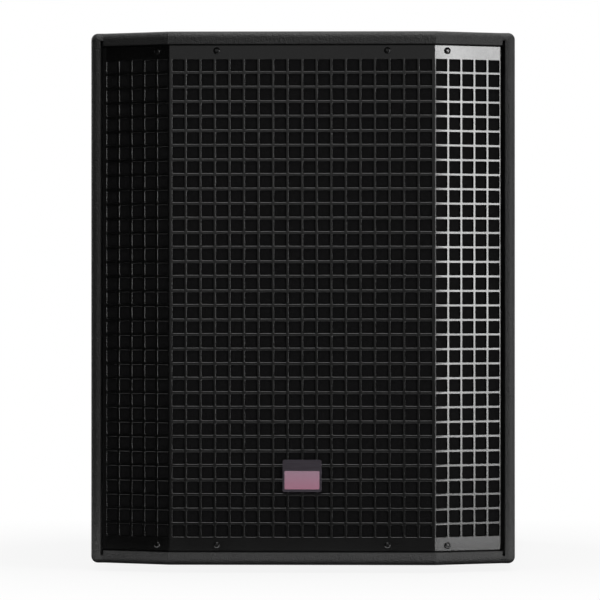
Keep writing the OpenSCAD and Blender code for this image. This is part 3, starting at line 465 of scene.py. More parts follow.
def plywood(root, place, spec):
    ply = root.between(root.wave(place, "X", spec["ply"]), *spec["plyEdge"])
    grain = root.noise(place, spec["grain"], detail=4.0)
    tone = root.weigh(ply, root.between(grain, *spec["contrast"]), spec["plyTone"])
    return surface(root, spec, tone, grain)


makeFinish("plywoodX", plywood, plyLook)

# copper turns beside each other, one for each wire's width along y
copperLook = dict(tones=((0.30, 0.075, 0.018), (0.55, 0.17, 0.045)), rough=(0.24, 0.36),
                  relief=0.08, wire=0.8, cloud=120.0, contrast=(-0.6, 1.4))


def copperTurns(root, place, spec):
    turns = root.wave(place, "Y", spec["wire"])
    tone = root.between(turns + root.noise(place, spec["cloud"]), *spec["contrast"])
    return surface(root, spec, tone, turns)


makeFinish("copperTurns", copperTurns, copperLook, metal)

# rose enamel over metal, greyer towards its top edge
enamelLook = dict(tones=((0.49, 0.205, 0.298), (0.418, 0.27, 0.348)), rough=(0.3, 0.42),
                  relief=0.03, low=86.0, high=105.0, cloud=160.0, riseTone=0.75)


def roseEnamel(root, place, spec):
    rise = root.between(root.axis(place, "Z"), spec["low"] * mm, spec["high"] * mm)
    cloud = root.noise(place, spec["cloud"], detail=3.0)
    return surface(root, spec, root.weigh(rise, cloud, spec["riseTone"]), cloud, wear=cloud)


makeFinish("roseEnamel", roseEnamel, enamelLook, {"Coat Weight": 0.3, "Coat Roughness": 0.2})

# green solder mask with tracks between two planes; what stands off the board is dark plastic
boardLook = dict(mask=((0.03, 0.17, 0.07), (0.010, 0.075, 0.028)), plastic=(0.012, 0.03),
                 tracks=210.0, track=(0.05, 0.09), specks=500.0, smears=400.0,
                 dull=0.5, gloss=0.2, smear=0.08, relief=0.04)
boards = dict(amplifierBoard=(249.9, 251.7), controlBoard=(246.8, 248.6))


def circuitBoard(root, place, spec):
    tracks = root.cells(place, spec["tracks"], feature="DISTANCE_TO_EDGE")
    line = root.between(tracks, *spec["track"])
    depth = root.axis(place, "Y")
    back, face = (level * mm for level in spec["faces"])
    inside = root.math("GREATER_THAN", depth, back) * root.math("LESS_THAN", depth, face)
    plastic = root.shade(root.noise(place, spec["specks"]), spec["plastic"])
    smear = root.noise(place, spec["smears"]) * spec["smear"]
    return {
        "Base Color": root.mix(inside, plastic, root.shade(line, spec["mask"])),
        "Roughness": spec["dull"] - inside * spec["gloss"] + smear,
        "Normal": root.bump(line * inside, spec["relief"] * mm),
    }


for name, faces in boards.items():
    makeFinish(name, circuitBoard, dict(boardLook, faces=faces))

# glass tube between two plated caps
fuseLook = dict(middle=-105.0, half=5.2, edge=0.2, glass=(0.62, 0.64, 0.62), cloud=900.0,
                caps=((0.5, 0.5, 0.47), (0.6, 0.59, 0.56)), glassRough=0.06, capRough=0.2,
                smear=0.04)


def fuseGlass(root, place, spec):
    off = root.math("ABSOLUTE", root.axis(place, "X") - spec["middle"] * mm)
    cap = root.between(off, spec["half"] * mm, (spec["half"] + spec["edge"]) * mm)
    cloud = root.noise(place, spec["cloud"])
    return {
        "Base Color": root.mix(cap, colour(spec["glass"]), root.shade(cloud, spec["caps"])),
        "Metallic": cap,
        "Roughness": spec["glassRough"] + cap * spec["capRough"] + cloud * spec["smear"],
    }


makeFinish("fuseGlass", fuseGlass, fuseLook, {"Coat Weight": 0.5})

# unlit lenses, from the right: power, signal and limit
lensLook = dict(limitBelow=-50.0, green=(0.05, 0.27, 0.075), red=(0.35, 0.025, 0.018),
                milk=0.4, milkTone=0.35, grain=1200.0, rough=0.12, smear=0.1)
lensFixed = {"Coat Weight": 1.0, "Coat Roughness": 0.05, "Subsurface Weight": 0.15,
             "Subsurface Radius": (0.002, 0.002, 0.002)}


def tintedLens(root, place, spec):
    limit = root.math("LESS_THAN", root.axis(place, "X"), spec["limitBelow"] * mm)
    milk = root.noise(place, spec["grain"])
    plain = root.shade(limit, (spec["green"], spec["red"]))
    return {
        "Base Color": root.mix(milk * spec["milkTone"], plain, colour(spec["milk"])),
        "Roughness": spec["rough"] + milk * spec["smear"],
    }


makeFinish("tintedLens", tintedLens, lensLook, lensFixed)
print("finishes made:", len(finishes))


# Making pieces and putting them on the bodies
def camel(node):
    first, *rest = node.split("_")
    return first + "".join(word.capitalize() for word in rest)


def treeSizes(spec, lengths, counts="", **others):
    sizes = {key: spec[key] * mm for key in lengths.split()}
    return {**sizes, **{key: spec[key] for key in counts.split()}, **others}


def makePiece(name, shape, finish, sharp=38.0):
    mesh = shape
    if isinstance(shape, bmesh.types.BMesh):
        mesh = bpy.data.meshes.new(name)
        shape.to_mesh(mesh)
        shape.free()
    if not mesh.materials:
        mesh.materials.append(finishes[finish])
    if sharp:
        mesh.shade_smooth()
        mesh.set_sharp_from_angle(angle=math.radians(sharp))
    return addObject(name, mesh)


def addTo(node, piece):
    # on the node's body
    body = nodes[node].parent.name.split(":")[1]
    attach(piece, body)


def standFor(node, piece):
    addTo(node, piece)
    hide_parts(node)


def plainMesh(holder):
    # the evaluated shape as a mesh of its own, with no modifier left
    evaluated = holder.evaluated_get(bpy.context.evaluated_depsgraph_get())
    solid = bpy.data.meshes.new_from_object(evaluated)
    name, old = holder.name, holder.data
    bpy.data.objects.remove(holder)
    if old.users == 0:
        bpy.data.batch_remove([old])
    solid.name = name
    return solid


def newTree(name, sizes):
    tree = bpy.data.node_groups.new(name, "GeometryNodeTree")
    tree.interface.new_socket("Shape", in_out="OUTPUT", socket_type="NodeSocketGeometry")
    kinds = {int: "Int", float: "Float", tuple: "Vector", bpy.types.Material: "Material",
             bpy.types.Object: "Object", bpy.types.Mesh: "Geometry"}
    for label, value in sizes.items():
        kind = "NodeSocket" + kinds[type(value)]
        tree.interface.new_socket(label, in_out="INPUT", socket_type=kind)
    entry = tree.nodes.new("NodeGroupInput")
    return Wire(tree), {socket.name: Wire(tree, socket) for socket in entry.outputs if socket.name}


def endTree(root, shape, material):
    whole = root.geo("RealizeInstances", {"Geometry": shape})
    painted = root.geo("SetMaterial", {"Geometry": whole, "Material": material})
    exitNode = root.tree.nodes.new("NodeGroupOutput")
    root.tree.links.new(painted.socket, exitNode.inputs[0])
    return root.tree


def bakeTree(name, tree, sizes, extras=()):
    holder = addObject(name, sizes.get("points") or bpy.data.meshes.new(name))
    modifier = holder.modifiers.new("shape", "NODES")
    modifier.node_group = tree
    for item in tree.interface.items_tree:
        if item.in_out == "INPUT" and item.name != "points":
            modifier[item.identifier] = sizes[item.name]
    for kind, settings in extras:
        extra = holder.modifiers.new(kind.lower(), kind)
        for key, value in settings.items():
            setattr(extra, key, value)
    return plainMesh(holder)


# Grille: one perforated sheet, made flat and bent into its bay. All sizes of pieces are in
# millimetres and degrees.
grilleSheet = dict(
    pitch=15.0, hole=12.0, corner=0.9, flatColumns=18, wingColumns=5, rows=33, bendColumns=6,
    bend=137.0, angle=25.0, bendRadius=4.0, thickness=1.5, rim=0.7, rimOver=50.0, weld=0.02,
)
# lengths that follow the CAD's sheet: each wing, and the plain strip over the top row
grilleSheet["wing"] = ((grilleHigh.x / mm - grilleSheet["bend"])
                       / math.cos(math.radians(grilleSheet["angle"])))
grilleSheet["edge"] = ((grilleHigh.z - grilleLow.z) / mm
                       - grilleSheet["rows"] * grilleSheet["pitch"]) / 2


def bendRound(reach, bend, radius, angle, least, most, sine, cosine):
    # straight as far as the arc, round it, then straight along the wing
    start = bend - radius * angle / 2
    turned = least(most((reach - start) / radius, 0.0), angle)
    after = most(reach - start - radius * angle, 0.0)
    across = least(reach, start) + radius * sine(turned) + after * cosine(angle)
    return turned, across, radius * (1 - cosine(turned)) + after * sine(angle)


def sheetTree(sizes):
    root, size = newTree("perforatedSheet", sizes)
    pitch, rows, bend = size["pitch"], size["rows"], size["bend"]
    flatColumns, wingColumns = size["flatColumns"], size["wingColumns"]

    def square(width):
        return root.geo("CurvePrimitiveQuadrilateral", {"Width": width, "Height": width})

    def grid(width, height, across, up, x=0.0, y=0.0):
        flat = root.geo("MeshGrid", {0: width, 1: height, 2: across, 3: up})
        return root.geo("Transform", {"Geometry": flat, "Translation": root.vector(x, y)})

    def bothSides(width, height, across, up, x, y=0.0):
        return [grid(width, height, across, up, middle, y) for middle in (x, 0.0 - x)]

    # one cell: a square with a rounded square hole
    hole = {"Curve": square(size["hole"]), "Count": 2, "Radius": size["corner"]}
    soft = root.geo("FilletCurve", hole, mode="POLY")
    rings = root.geo("JoinGeometry", {0: [square(pitch), soft]})
    cell = root.geo("FillCurve", {"Curve": rings}, mode="TRIANGLES")

    flatWide, wingWide, rowsHigh = flatColumns * pitch, wingColumns * pitch, rows * pitch
    wingMiddle = bend + wingWide / 2
    spots = [grid(flatWide - pitch, rowsHigh - pitch, flatColumns, rows)]
    spots += bothSides(wingWide - pitch, rowsHigh - pitch, wingColumns, rows, wingMiddle)
    points = root.geo("JoinGeometry", {0: spots})
    cells = root.geo("InstanceOnPoints", {"Points": points, "Instance": cell})

    # plain strips: along the bends, at the ends, over and under the holes
    tall, levels = rowsHigh + 2 * pitch, rows + 3
    bendFrom = flatWide / 2
    last = size["wing"] - wingWide
    plain = bothSides(bend - bendFrom, tall, size["bendColumns"], levels, (bendFrom + bend) / 2)
    plain += bothSides(last, tall, 2, levels, bend + size["wing"] - last / 2)
    for side in (1.0, -1.0):
        level = (rowsHigh + pitch) * (side / 2)
        plain.append(grid(flatWide, pitch, flatColumns + 1, 2, 0.0, level))
        plain += bothSides(wingWide, pitch, wingColumns + 1, 2, wingMiddle, level)
    whole = root.geo("JoinGeometry", {0: [cells] + plain})
    whole = root.geo("RealizeInstances", {"Geometry": whole})
    whole = root.geo("MergeByDistance", {"Geometry": whole, "Distance": size["weld"]})

    spot = root.geo("InputPosition")
    across, up = root.axis(spot, "X"), root.axis(spot, "Y")
    steps = (partial(root.math, name) for name in ("MINIMUM", "MAXIMUM", "SINE", "COSINE"))
    reach = root.math("ABSOLUTE", across)
    _, x, depth = bendRound(reach, bend, size["bendRadius"], size["angle"], *steps)
    limit = rowsHigh / 2 + size["edge"]
    height = root.math("MAXIMUM", root.math("MINIMUM", up, limit), 0.0 - limit)
    x = x * root.math("SIGN", across)
    bent = root.vector(x, size["front"] + depth, size["middle"] + height)
    whole = root.geo("SetPosition", {"Geometry": whole, "Position": bent})
    whole = root.geo("SetShadeSmooth", {"Geometry": whole})
    return endTree(root, whole, size["finish"])


def makeGrille():
    spec = grilleSheet
    sizes = treeSizes(
        spec, "pitch hole corner bend wing bendRadius edge weld",
        "flatColumns wingColumns bendColumns rows", angle=math.radians(spec["angle"]),
        front=grilleLow.y, middle=grilleMiddle, finish=finishes["powderCoat"])
    thick = dict(thickness=spec["thickness"] * mm, offset=-1.0, use_even_offset=True)
    rims = dict(width=spec["rim"] * mm, segments=2, limit_method="ANGLE",
                angle_limit=math.radians(spec["rimOver"]), harden_normals=True)
    extras = (("SOLIDIFY", thick), ("BEVEL", rims), ("WEIGHTED_NORMAL", dict(keep_sharp=True)))
    mesh = bakeTree("grilleSheet", sheetTree(sizes), sizes, extras=extras)
    sheet = makePiece("grilleSheet", mesh, "powderCoat", None)
    standFor("grille", sheet)
    print("grille:", len(mesh.polygons), "faces")


makeGrille()


# Foam behind the grille, pressed a little way into every hole; steps are per hole and per bend
foamSheet = dict(clear=0.35, thickness=5.9, bulge=0.9, gap=0.5, steps=4, bendSteps=4, sharp=60.0)


def makeFoam():
    spec, holes = foamSheet, grilleSheet
    pitch, bend, angle = holes["pitch"], holes["bend"], math.radians(holes["angle"])
    half = holes["flatColumns"] * pitch / 2
    foamLow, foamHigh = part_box("grille_foam")
    tall = (foamHigh.z - foamLow.z) / mm / 2 - spec["gap"]
    wide = bend + (foamHigh.x / mm - bend) / math.cos(angle) - spec["gap"]
    step = pitch / spec["steps"]
    right = [k * step for k in range(int(half / step) + 1)]
    right += [half + (bend - half) * k / spec["bendSteps"] for k in range(1, spec["bendSteps"])]
    right += [bend + k * step for k in range(int((wide - bend) / step) + 1)] + [wide]
    columns = np.array([-u for u in reversed(right[1:])] + right)[:, None]
    count = int(tall / step)
    rows = np.unique([-tall] + [k * step for k in range(-count, count + 1)] + [tall])[None, :]

    def swelling(values, first):
        # from 1 in the middle of the nearest hole to 0 at its edge
        off = (values - first) % pitch
        away = np.minimum(off, pitch - off) / (holes["hole"] / 2)
        return np.clip(1 - away ** 2, 0, 1)

    reach = np.abs(columns)
    onWing = np.where(reach > bend, swelling(reach, bend + pitch / 2), 0.0)
    across = np.where(reach < half, swelling(reach, pitch / 2), onWing)
    swell = across * swelling(rows, 0.0)
    turned, x, y = bendRound(reach, bend, holes["bendRadius"], angle,
                             np.minimum, np.maximum, np.sin, np.cos)

    def layer(depth):
        # depth behind the sheet's face, for each column and row
        px = np.sign(columns) * (x - depth * np.sin(turned))
        py = y + depth * np.cos(turned)
        spots = (px * mm, py * mm + grilleLow.y, rows * mm + grilleMiddle)
        return np.stack(np.broadcast_arrays(*spots), axis=-1).reshape(-1, 3)

    front = holes["thickness"] + spec["clear"]
    back = layer(front + spec["thickness"])
    points = np.concatenate([layer(front - spec["bulge"] * swell), back])
    index = np.arange(swell.size).reshape(swell.shape)
    corners = [index[:-1, :-1], index[1:, :-1], index[1:, 1:], index[:-1, 1:]]
    faces = np.stack(corners, -1).reshape(-1, 4)
    far = faces[:, ::-1] + index.size
    rim = np.concatenate([index[:, 0], index[-1, 1:], index[-2::-1, -1], index[0, -2:0:-1]])
    ahead = np.roll(rim, -1)
    walls = np.stack([rim, rim + index.size, ahead + index.size, ahead], -1)
    mesh = bpy.data.meshes.new("foamSheet")
    mesh.from_pydata(points.tolist(), [], np.concatenate([faces, far, walls]).tolist())
    foam = makePiece("foamSheet", mesh, "openFoam", spec["sharp"])
    standFor("grille_foam", foam)


makeFoam()
print("grille and foam made")


# The CAD's own pieces: nodes that keep their shape, by finish
dress = dict(
    texturedPaint="top_panel bottom_panel left_side_panel right_side_panel rear_panel",
    baffleBlack="front_baffle port_shelf top_grille_batten bottom_grille_batten",
    plywoodX="port_brace window_brace",
    gripRubber="left_handle_grip right_handle_grip",
    castCoat="driver_basket",
    conePaper="driver_cone dust_cap",
    polyimide="voice_coil_former",
    copperTurns="voice_coil_winding",
    zincPlate="driver_top_plate driver_pole_yoke driver_tee_nuts",
    ferrite="driver_magnet",
    fibreBoard="driver_terminals",
    blackZinc="driver_bolts",
    cableJacket="speaker_cable",
    galvanised="amp_cover",
    amplifierBoard="amplifier_board",
    controlBoard="control_board",
    fuseGlass="fuse",
    tintedLens="status_lenses",
)
# and nodes whose moulded or machined edges show, with the width of their bevel
edged = (
    (0.35, "badgeMetal", "badge"),
    (0.25, "roseEnamel", "badge_inlay"),
    (0.3, "blackSteel", "pole_socket"),
    (0.8, "grainedPlastic", "left_handle_dish right_handle_dish"),
    (0.6, "footRubber", "rubber_feet"),
    (0.4, "sealFoam", "driver_gasket"),
    (0.5, "blackAnodised", "amp_panel"),
    (0.4, "sealFoam", "amp_gasket"),
    (0.4, "finAnodised", "heat_sink"),
    (0.3, "blackNylon", "left_input_socket right_input_socket left_link_socket right_link_socket"),
    (0.3, "nickel", "left_input_latch right_input_latch"),
    (0.25, "softTouch", "level_knob crossover_knob"),
    (0.4, "greyPlastic", "polarity_button"),
    (0.4, "blackNylon", "power_switch_body"),
    (0.4, "softTouch", "power_rocker"),
    (0.4, "blackNylon", "mains_inlet"),
    (0.3, "blackNylon", "fuse_drawer"),
)
edgeRule = dict(over=40.0, sharp=24.0)
cleaning = dict(weld=0.002, flat=0.5)


def welded(node):
    shape = bmesh.new()
    shape.from_mesh(nodes[node].data)
    bmesh.ops.remove_doubles(shape, verts=shape.verts, dist=cleaning["weld"] * mm)
    return shape


def roundedPiece(name, shape, width, finish, over, sharp):
    limit = math.radians(over)
    edges = [edge for edge in shape.edges if edge.is_manifold and edge.calc_face_angle() > limit]
    bmesh.ops.bevel(shape, geom=edges, offset=width * mm, offset_type="OFFSET", segments=2,
                    profile=0.5, affect="EDGES", clamp_overlap=True)
    holder = makePiece(name, shape, finish, sharp)
    # flat faces keep their own normals beside the round edges
    holder.modifiers.new("even", "WEIGHTED_NORMAL").keep_sharp = True
    return makePiece(name, plainMesh(holder), finish, None)


def bevelled(node, finish, width):
    shape = welded(node)
    bmesh.ops.dissolve_limit(shape, angle_limit=math.radians(cleaning["flat"]),
                             verts=shape.verts, edges=shape.edges)
    standFor(node, roundedPiece(camel(node), shape, width, finish, **edgeRule))


def dressNodes():
    for finish, names in dress.items():
        for node in names.split():
            for place in nodes[node].material_slots:
                place.material = finishes[finish]
    for width, finish, names in edged:
        for node in names.split():
            bevelled(node, finish, width)
    print("nodes dressed in", len(dress) + len(edged), "groups")


dressNodes()


# Screws: a pan head and a countersunk one, each with a cross recess; outlines in radius and height
screwForms = dict(
    panScrew=[(0, 0), (1.5, 0), (2.6, -0.22), (3.25, -0.7), (3.55, -1.4), (3.6, -2), (1.9, -2),
              (1.9, -14), (0, -16)],
    sunkScrew=[(0, 0), (3.75, 0), (4.0, -0.2), (2, -2.2), (2, -12), (0, -14)],
)
screwLook = dict(sides=20, head=2.5)
screwRecess = dict(arm=2.0, width=0.85, depth=1.1, taper=0.55)
screwSets = dict(grille_screws=("panScrew", "powderCoat"), amp_screws=("panScrew", "blackZinc"),
                 fixing_screws=("sunkScrew", "blackZinc"))


def revolve(outline, steps):
    # a profile of radius and height turned about z, closed where it meets the axis
    shape = bmesh.new()
    turns = [2 * math.pi * k / steps for k in range(steps)]
    rings = []
    for r, z in outline:
        part = turns if r else turns[:1]
        ring = [shape.verts.new((r * mm * math.cos(t), r * mm * math.sin(t), z * mm)) for t in part]
        rings.append(ring if r else ring * steps)
    for upper, lower in zip(rings, rings[1:]):
        for k in range(steps):
            corners = [upper[k], upper[k - 1], lower[k - 1], lower[k]]
            shape.faces.new(list(dict.fromkeys(corners)))
    bmesh.ops.recalc_face_normals(shape, faces=shape.faces)
    return shape


def addPrism(shape, *outlines):
    # two outlines in millimetres, joined by a wall
    first, second = ([shape.verts.new([v * mm for v in spot]) for spot in outline]
                     for outline in outlines)
    shape.faces.new(first)
    shape.faces.new(second[::-1])
    for k in range(len(first)):
        shape.faces.new((first[k - 1], second[k - 1], second[k], first[k]))
    bmesh.ops.recalc_face_normals(shape, faces=shape.faces)


def crossCutter():
    arm, half, depth = screwRecess["arm"], screwRecess["width"] / 2, screwRecess["depth"]
    outline, corners = [], [(arm, -half), (arm, half), (half, half)]
    for quarter in range(4):
        outline += corners
        corners = [(-y, x) for x, y in corners]
    foot = [[v * screwRecess["taper"] if abs(v) > half else v for v in spot] for spot in outline]
    shape = bmesh.new()
    addPrism(shape, [(x, y, depth) for x, y in outline], [(x, y, -depth) for x, y in foot])
    return shape


def screwTemplate(name):
    body = makePiece(name, revolve(screwForms[name], screwLook["sides"]), "blackZinc")
    cutter = makePiece("recess", crossCutter(), "blackZinc")
    cut = body.modifiers.new("recess", "BOOLEAN")
    cut.operation, cut.solver, cut.object = "DIFFERENCE", "EXACT", cutter
    mesh = plainMesh(body)
    bpy.data.objects.remove(cutter)
    return addObject(name, mesh)


def looseParts(node):
    shape = welded(node)
    left, parts = set(shape.verts), []
    while left:
        part = [left.pop()]
        # the list grows by the neighbours of each of its corners
        for vert in part:
            near = left & {edge.other_vert(vert) for edge in vert.link_edges}
            left -= near
            part += near
        parts.append(np.array([vert.co for vert in part]))
    shape.free()
    return sorted(parts, key=lambda part: tuple(part.mean(axis=0).round(4)))


def headOf(part):
    # middle of a screw's head and the way it faces: the long axis, towards the wider end
    middle = part.mean(axis=0)
    axis = np.linalg.svd(part - middle)[2][0]
    along = (part - middle) @ axis
    off = np.linalg.norm(part - middle - np.outer(along, axis), axis=1)
    deep = screwLook["head"] * mm
    if off[along > along.max() - deep].max() < off[along < along.min() + deep].max():
        axis, along = -axis, -along
    return middle + axis * along.max(), axis


def screwTree(sizes):
    root, size = newTree("screws", sizes)
    facing = root.geo("InputNamedAttribute", {"Name": "facing"}, data_type="FLOAT_VECTOR")
    aim = root.node("FunctionNodeAlignRotationToVector", {"Vector": facing}, axis="Z")
    turn = root.node("FunctionNodeRandomValue", {2: 0.0, 3: size["turn"], "Seed": size["seed"]}, 1)
    turned = root.node("FunctionNodeRotateRotation",
                       {"Rotation": aim, "Rotate By": root.spin(turn)}, rotation_space="LOCAL")
    screw = root.geo("ObjectInfo", {"Object": size["screw"]}, "Geometry")
    placed = root.geo("InstanceOnPoints",
                      {"Points": size["points"], "Instance": screw, "Rotation": turned})
    return endTree(root, placed, size["finish"])


def makeScrews():
    templates = {name: screwTemplate(name) for name in screwForms}
    tree = None
    for seed, (node, (form, finish)) in enumerate(screwSets.items()):
        places, facings = zip(*(headOf(part) for part in looseParts(node)))
        points = bpy.data.meshes.new("screwPlaces")
        points.from_pydata([tuple(place) for place in places], [], [])
        facing = points.attributes.new("facing", "FLOAT_VECTOR", "POINT")
        facing.data.foreach_set("vector", np.array(facings, np.float32).ravel())
        sizes = dict(points=points, screw=templates[form], turn=math.pi, seed=seed,
                     finish=finishes[finish])
        tree = tree or screwTree(sizes)
        standFor(node, makePiece(camel(node), bakeTree(camel(node), tree, sizes), finish))
        print(node, len(places))
    for template in templates.values():
        bpy.data.objects.remove(template)


makeScrews()


# Badge: a plain satin bar, let a little way into the enamel
badgeBar = dict(width=33.0, height=4.2, rise=111.6, proud=0.35, sunk=0.2, corner=0.6, steps=4,
                edge=0.12, rule=dict(over=60.0, sharp=38.0))


def makeBadgeBar():
    spec = badgeBar
    radius, ring = spec["corner"], []
    for quarter, (right, up) in enumerate(((1, 1), (-1, 1), (-1, -1), (1, -1))):
        for k in range(spec["steps"] + 1):
            turn = math.pi / 2 * (quarter + k / spec["steps"])
            ring.append((right * (spec["width"] / 2 - radius) + radius * math.cos(turn),
                         up * (spec["height"] / 2 - radius) + radius * math.sin(turn)))
    shape = bmesh.new()
    addPrism(shape, *([(x, y, z) for x, z in ring] for y in (-spec["proud"], spec["sunk"])))
    shape.transform(Matrix.Translation((0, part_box("badge_inlay")[0].y, spec["rise"] * mm)))
    addTo("badge", roundedPiece("badgeBar", shape, spec["edge"], "badgeMetal", **spec["rule"]))


makeBadgeBar()


# Handle grips: ribs round the sleeve
gripRibs = dict(count=21, pitch=6.0, radius=12.05, rib=0.75, sides=40, ribSides=8)


def ribTree(sizes):
    root, size = newTree("gripRibs", sizes)
    ring, section = (
        root.geo("CurvePrimitiveCircle", {"Resolution": size[sides], "Radius": size[radius]})
        for sides, radius in (("sides", "radius"), ("ribSides", "rib")))
    band = root.geo("CurveToMesh", {"Curve": ring, "Profile Curve": section})
    upright = root.geo("Transform", {"Geometry": band, "Rotation": (math.pi / 2, 0.0, 0.0)})
    back = root.vector(y=size["pitch"] * (size["count"] - 1) / 2)
    first = root.node("ShaderNodeVectorMath", {0: size["middle"], 1: back}, operation="SUBTRACT")
    line = root.geo("MeshLine", {
        "Count": size["count"], "Start Location": first, "Offset": root.vector(y=size["pitch"])})
    ribs = root.geo("InstanceOnPoints", {"Points": line, "Instance": upright})
    return endTree(root, ribs, size["finish"])


def makeGrips():
    tree = None
    for side in ("left", "right"):
        node, name = side + "_handle_grip", side + "GripRibs"
        low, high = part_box(node)
        sizes = treeSizes(gripRibs, "pitch radius rib", "count sides ribSides",
                          middle=tuple((low + high) / 2), finish=finishes["gripRubber"])
        tree = tree or ribTree(sizes)
        addTo(node, makePiece(name, bakeTree(name, tree, sizes), "gripRubber"))


makeGrips()
print("screws, badge bar and grip ribs made")


# Driver's cloth: radii of its lands and of the first and last edge of its rolls
clothForms = dict(
    driver_surround=dict(finish="treatedCloth", lands=(140.0, 173.0), rolled=(147.0, 166.0),
                         rolls=2, level=-2.6, both=False),
    driver_spider=dict(finish="spiderCloth", lands=(50.0, 94.0), rolled=(54.0, 85.0),
                       rolls=4, level=-93.6, both=True),
)
driverPlace = dict(y=-245.0, z=320.5, cloth=0.8, steps=96, rollSteps=12, sharp=60.0)


def clothOutline(spec):
    first, last = spec["rolled"]
    level, steps = spec["level"], driverPlace["rollSteps"]
    roll = (last - first) / (2 * spec["rolls"])
    outline = [(spec["lands"][0], level), (first, level)]
    for k in range(spec["rolls"]):
        way = -1 if spec["both"] and k % 2 else 1
        for step in range(1, steps + 1):
            turn = math.pi * step / steps
            rise = max(math.sin(turn), 0.0) * way
            outline.append((first + (2 * k + 1 - math.cos(turn)) * roll, level + roll * rise))
    return outline + [(spec["lands"][1], level)]


def makeCloth():
    middle = Matrix.Translation((0, driverPlace["y"] * mm, driverPlace["z"] * mm))
    upright = middle @ Matrix.Rotation(math.pi / 2, 4, "X")
    for node, spec in clothForms.items():
        name, (first, last) = camel(node), spec["rolled"]
        holder = makePiece(name, revolve(clothOutline(spec), driverPlace["steps"]), spec["finish"])
        thick = holder.modifiers.new("thickness", "SOLIDIFY")
        thick.thickness, thick.offset = driverPlace["cloth"] * mm, 0.0
        mesh = plainMesh(holder)
        mesh.transform(upright)
        piece = makePiece(name, mesh, spec["finish"], driverPlace["sharp"])
        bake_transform(piece, "cabinet", "cone_assembly", (0, 0, 0), (0, 1, 0))
        # held by the basket outside the rolls, by the cone or coil inside them
        spots = np.array([vert.co for vert in mesh.vertices])
        radius = np.hypot(spots[:, 0], spots[:, 2] - driverPlace["z"] * mm) / mm
        share = np.clip((last - radius) / (last - first), 0, 1)
        eased = (share * share * (3 - 2 * share)).astype(np.float32)
        mesh.attributes["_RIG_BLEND"].data.foreach_set("value", eased)
        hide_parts(node)


makeCloth()
print("driver cloth made")


# Amplifier panel: places as seen from behind, across, up and out from its face
panel = dict(face=276.5, print=0.06, weld=0.0001, letterSteps=3)
dials = dict(
    level=dict(node="level_knob", x=-45.0, z=215.0, marks="0 2 4 6 8 10", ticks=11),
    crossover=dict(node="crossover_knob", x=-88.0, z=215.0, marks="60 80 100 120 140 160",
                   ticks=11),
)
dialLook = dict(radius=13.2, width=0.5, length=1.7, numbers=17.2, size=2.6, sweep=300.0)
pointer = dict(top=16.7, sunk=0.25, depth=0.5, width=0.8, inner=2.3, outer=9.6)


def onPanel(x, z, across=-1):
    # from the panel's own axes, across, up and out, to the part's
    axes = Matrix(((across, 0, 0, 0), (0, 0, 1, 0), (0, 1, 0, 0), (0, 0, 0, 1)))
    return Matrix.Translation((x * mm, panel["face"] * mm, z * mm)) @ axes


def tickTree(sizes):
    root, size = newTree("dialTicks", sizes)
    count, sweep, height = size["count"], size["sweep"], size["height"]
    bar = root.geo("MeshCube", {"Size": root.vector(size["width"], size["length"], height)})
    moved = root.geo("Transform", {
        "Geometry": bar, "Translation": root.vector(0.0, size["radius"], height / 2)})
    spots = root.geo("MeshLine", {"Count": count, "Offset": (0.0, 0.0, 0.0)})
    order = root.geo("InputIndex")
    turn = order * sweep / (count - 1) - sweep / 2
    ticks = root.geo("InstanceOnPoints",
                     {"Points": spots, "Instance": moved, "Rotation": root.spin(turn)})
    return endTree(root, ticks, size["finish"])


def textMesh(words, size):
    depth = panel["print"] * mm
    curve = bpy.data.curves.new("mark", "FONT")
    curve.body, curve.size = words, size * mm
    curve.align_x, curve.align_y = "CENTER", "CENTER"
    curve.extrude = depth / 2
    curve.resolution_u = panel["letterSteps"]
    solid = plainMesh(addObject("mark", curve))
    solid.transform(Matrix.Translation((0, 0, depth / 2)))
    return solid


def addBox(shape, low, high):
    made = bmesh.ops.create_cube(shape, size=1.0)["verts"]
    for vert in made:
        vert.co = [(a + b) / 2 * mm + v * (b - a) * mm for a, b, v in zip(low, high, vert.co)]


def joined(name, meshes):
    shape = bmesh.new()
    for mesh in meshes:
        shape.from_mesh(mesh)
        bpy.data.meshes.remove(mesh)
    bmesh.ops.remove_doubles(shape, verts=shape.verts, dist=panel["weld"] * mm)
    bmesh.ops.recalc_face_normals(shape, faces=shape.faces)
    return makePiece(name, shape, "panelPrint")


def makeDials():
    look, tree = dialLook, None
    for name, spec in dials.items():
        seat, words = onPanel(spec["x"], spec["z"]), spec["marks"].split()
        sizes = treeSizes(
            look, "width length radius", height=panel["print"] * mm, count=spec["ticks"],
            sweep=math.radians(look["sweep"]), finish=finishes["panelPrint"])
        tree = tree or tickTree(sizes)
        marks = [bakeTree(name + "Ticks", tree, sizes)]
        for k, word in enumerate(words):
            turn = math.radians(look["sweep"] * (0.5 - k / (len(words) - 1)) + 90)
            spot = Vector((math.cos(turn), math.sin(turn), 0)) * look["numbers"] * mm
            marks.append(textMesh(word, look["size"]))
            marks[-1].transform(Matrix.Translation(spot))
        for mark in marks:
            mark.transform(seat)
        addTo("amp_panel", joined(name + "Scale", marks))
        # white line let into the knob's groove
        shape = bmesh.new()
        top, half = pointer["top"] - pointer["sunk"], pointer["width"] / 2
        addBox(shape, (-half, pointer["inner"], top - pointer["depth"]),
               (half, pointer["outer"], top))
        shape.transform(seat)
        addTo(spec["node"], makePiece(name + "Pointer", shape, "panelPrint"))


makeDials()

# thin printed frames round the sockets, and arrows for signal in and signal out
frames = dict(line=0.5, boxes=((61.0, 129.0, 198.0, 238.0), (-7.0, 60.5, 198.0, 238.0)),
              arrowHalf=2.4, arrows=((95.0, 240.5, 244.5), (27.0, 244.5, 240.5)))


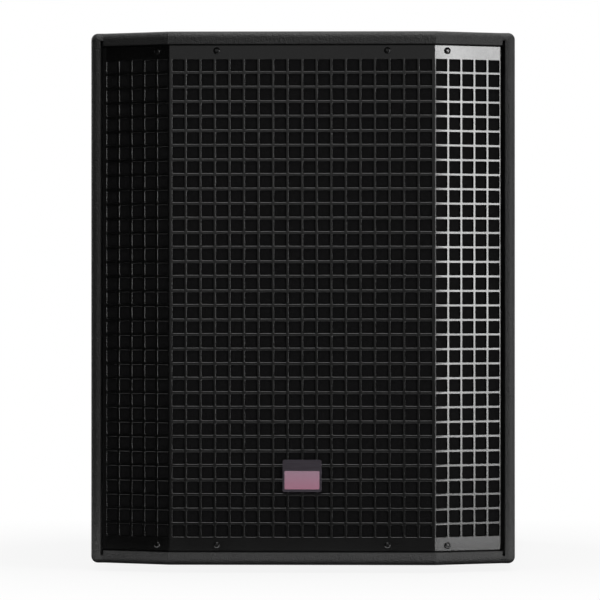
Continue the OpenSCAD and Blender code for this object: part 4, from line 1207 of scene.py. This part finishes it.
def makePrint():
    shape = bmesh.new()
    high, half, wide = panel["print"], frames["line"] / 2, frames["arrowHalf"]
    for left, right, low, top in frames["boxes"]:
        for x in (left, right):
            addBox(shape, (x - half, low - half, 0), (x + half, top + half, high))
        for z in (low, top):
            addBox(shape, (left + half, z - half, 0), (right - half, z + half, high))
    for x, tip, base in frames["arrows"]:
        corners = ((x - wide, base), (x + wide, base), (x, tip))
        addPrism(shape, *([(*corner, out) for corner in corners] for out in (high, 0)))
    shape.transform(onPanel(0, 0, across=1))
    bmesh.ops.recalc_face_normals(shape, faces=shape.faces)
    addTo("amp_panel", makePiece("socketFrames", shape, "panelPrint"))


makePrint()

# switch marks on the rocker's two slopes
rockerMarks = dict(x=-55.0, z=141.0, tilt=8.0, rise=(3.2, 5.0), half=11.0, mark=3.4)


def makeRockerMarks():
    spec = rockerMarks
    low, high = spec["rise"]
    lean = math.atan2(high - low, spec["half"])
    tilted = Matrix.Rotation(math.radians(-spec["tilt"]), 4, "X")
    marks = []
    for word, way in (("I", 1), ("O", -1)):
        spot = Matrix.Translation((0, way * spec["half"] / 2 * mm, (low + high) / 2 * mm))
        marks.append(textMesh(word, spec["mark"]))
        marks[-1].transform(onPanel(spec["x"], spec["z"]) @ tilted @ spot
                            @ Matrix.Rotation(way * lean, 4, "X"))
    addTo("power_rocker", joined("rockerMarks", marks))


makeRockerMarks()

# metal contacts in the sockets and the inlet: the spans in which their faces lie
pins = dict(reach=6.4, out=(-13.9, 0.0))
blades = dict(spots=((-7, 6), (7, 6), (0, 13)), half=(1.3, 2.3), out=(-12.9, 2.0))
contacts = dict(
    leftLinkSocket=dict(x=44.0, z=218.0, zone=pins),
    rightLinkSocket=dict(x=10.0, z=218.0, zone=pins),
    mainsInlet=dict(x=-105.0, z=141.0, zone=blades),
)


def isContact(zone, x, y, out):
    if not zone["out"][0] < out < zone["out"][1]:
        return False
    if "reach" in zone:
        return math.hypot(x, y) < zone["reach"]
    wide, tall = zone["half"]
    return any(abs(x - px) < wide and abs(y - py) < tall for px, py in zone["spots"])


def plateContacts():
    for name, spec in contacts.items():
        piece = bpy.data.objects[name]
        piece.data.materials.append(finishes["nickel"])
        back = onPanel(spec["x"], spec["z"]).inverted()
        plated = 0
        for face in piece.data.polygons:
            if isContact(spec["zone"], *((back @ face.center) / mm)):
                face.material_index = 1
                plated += 1
        print(name, "plated faces:", plated)


plateContacts()
print("panel details made")
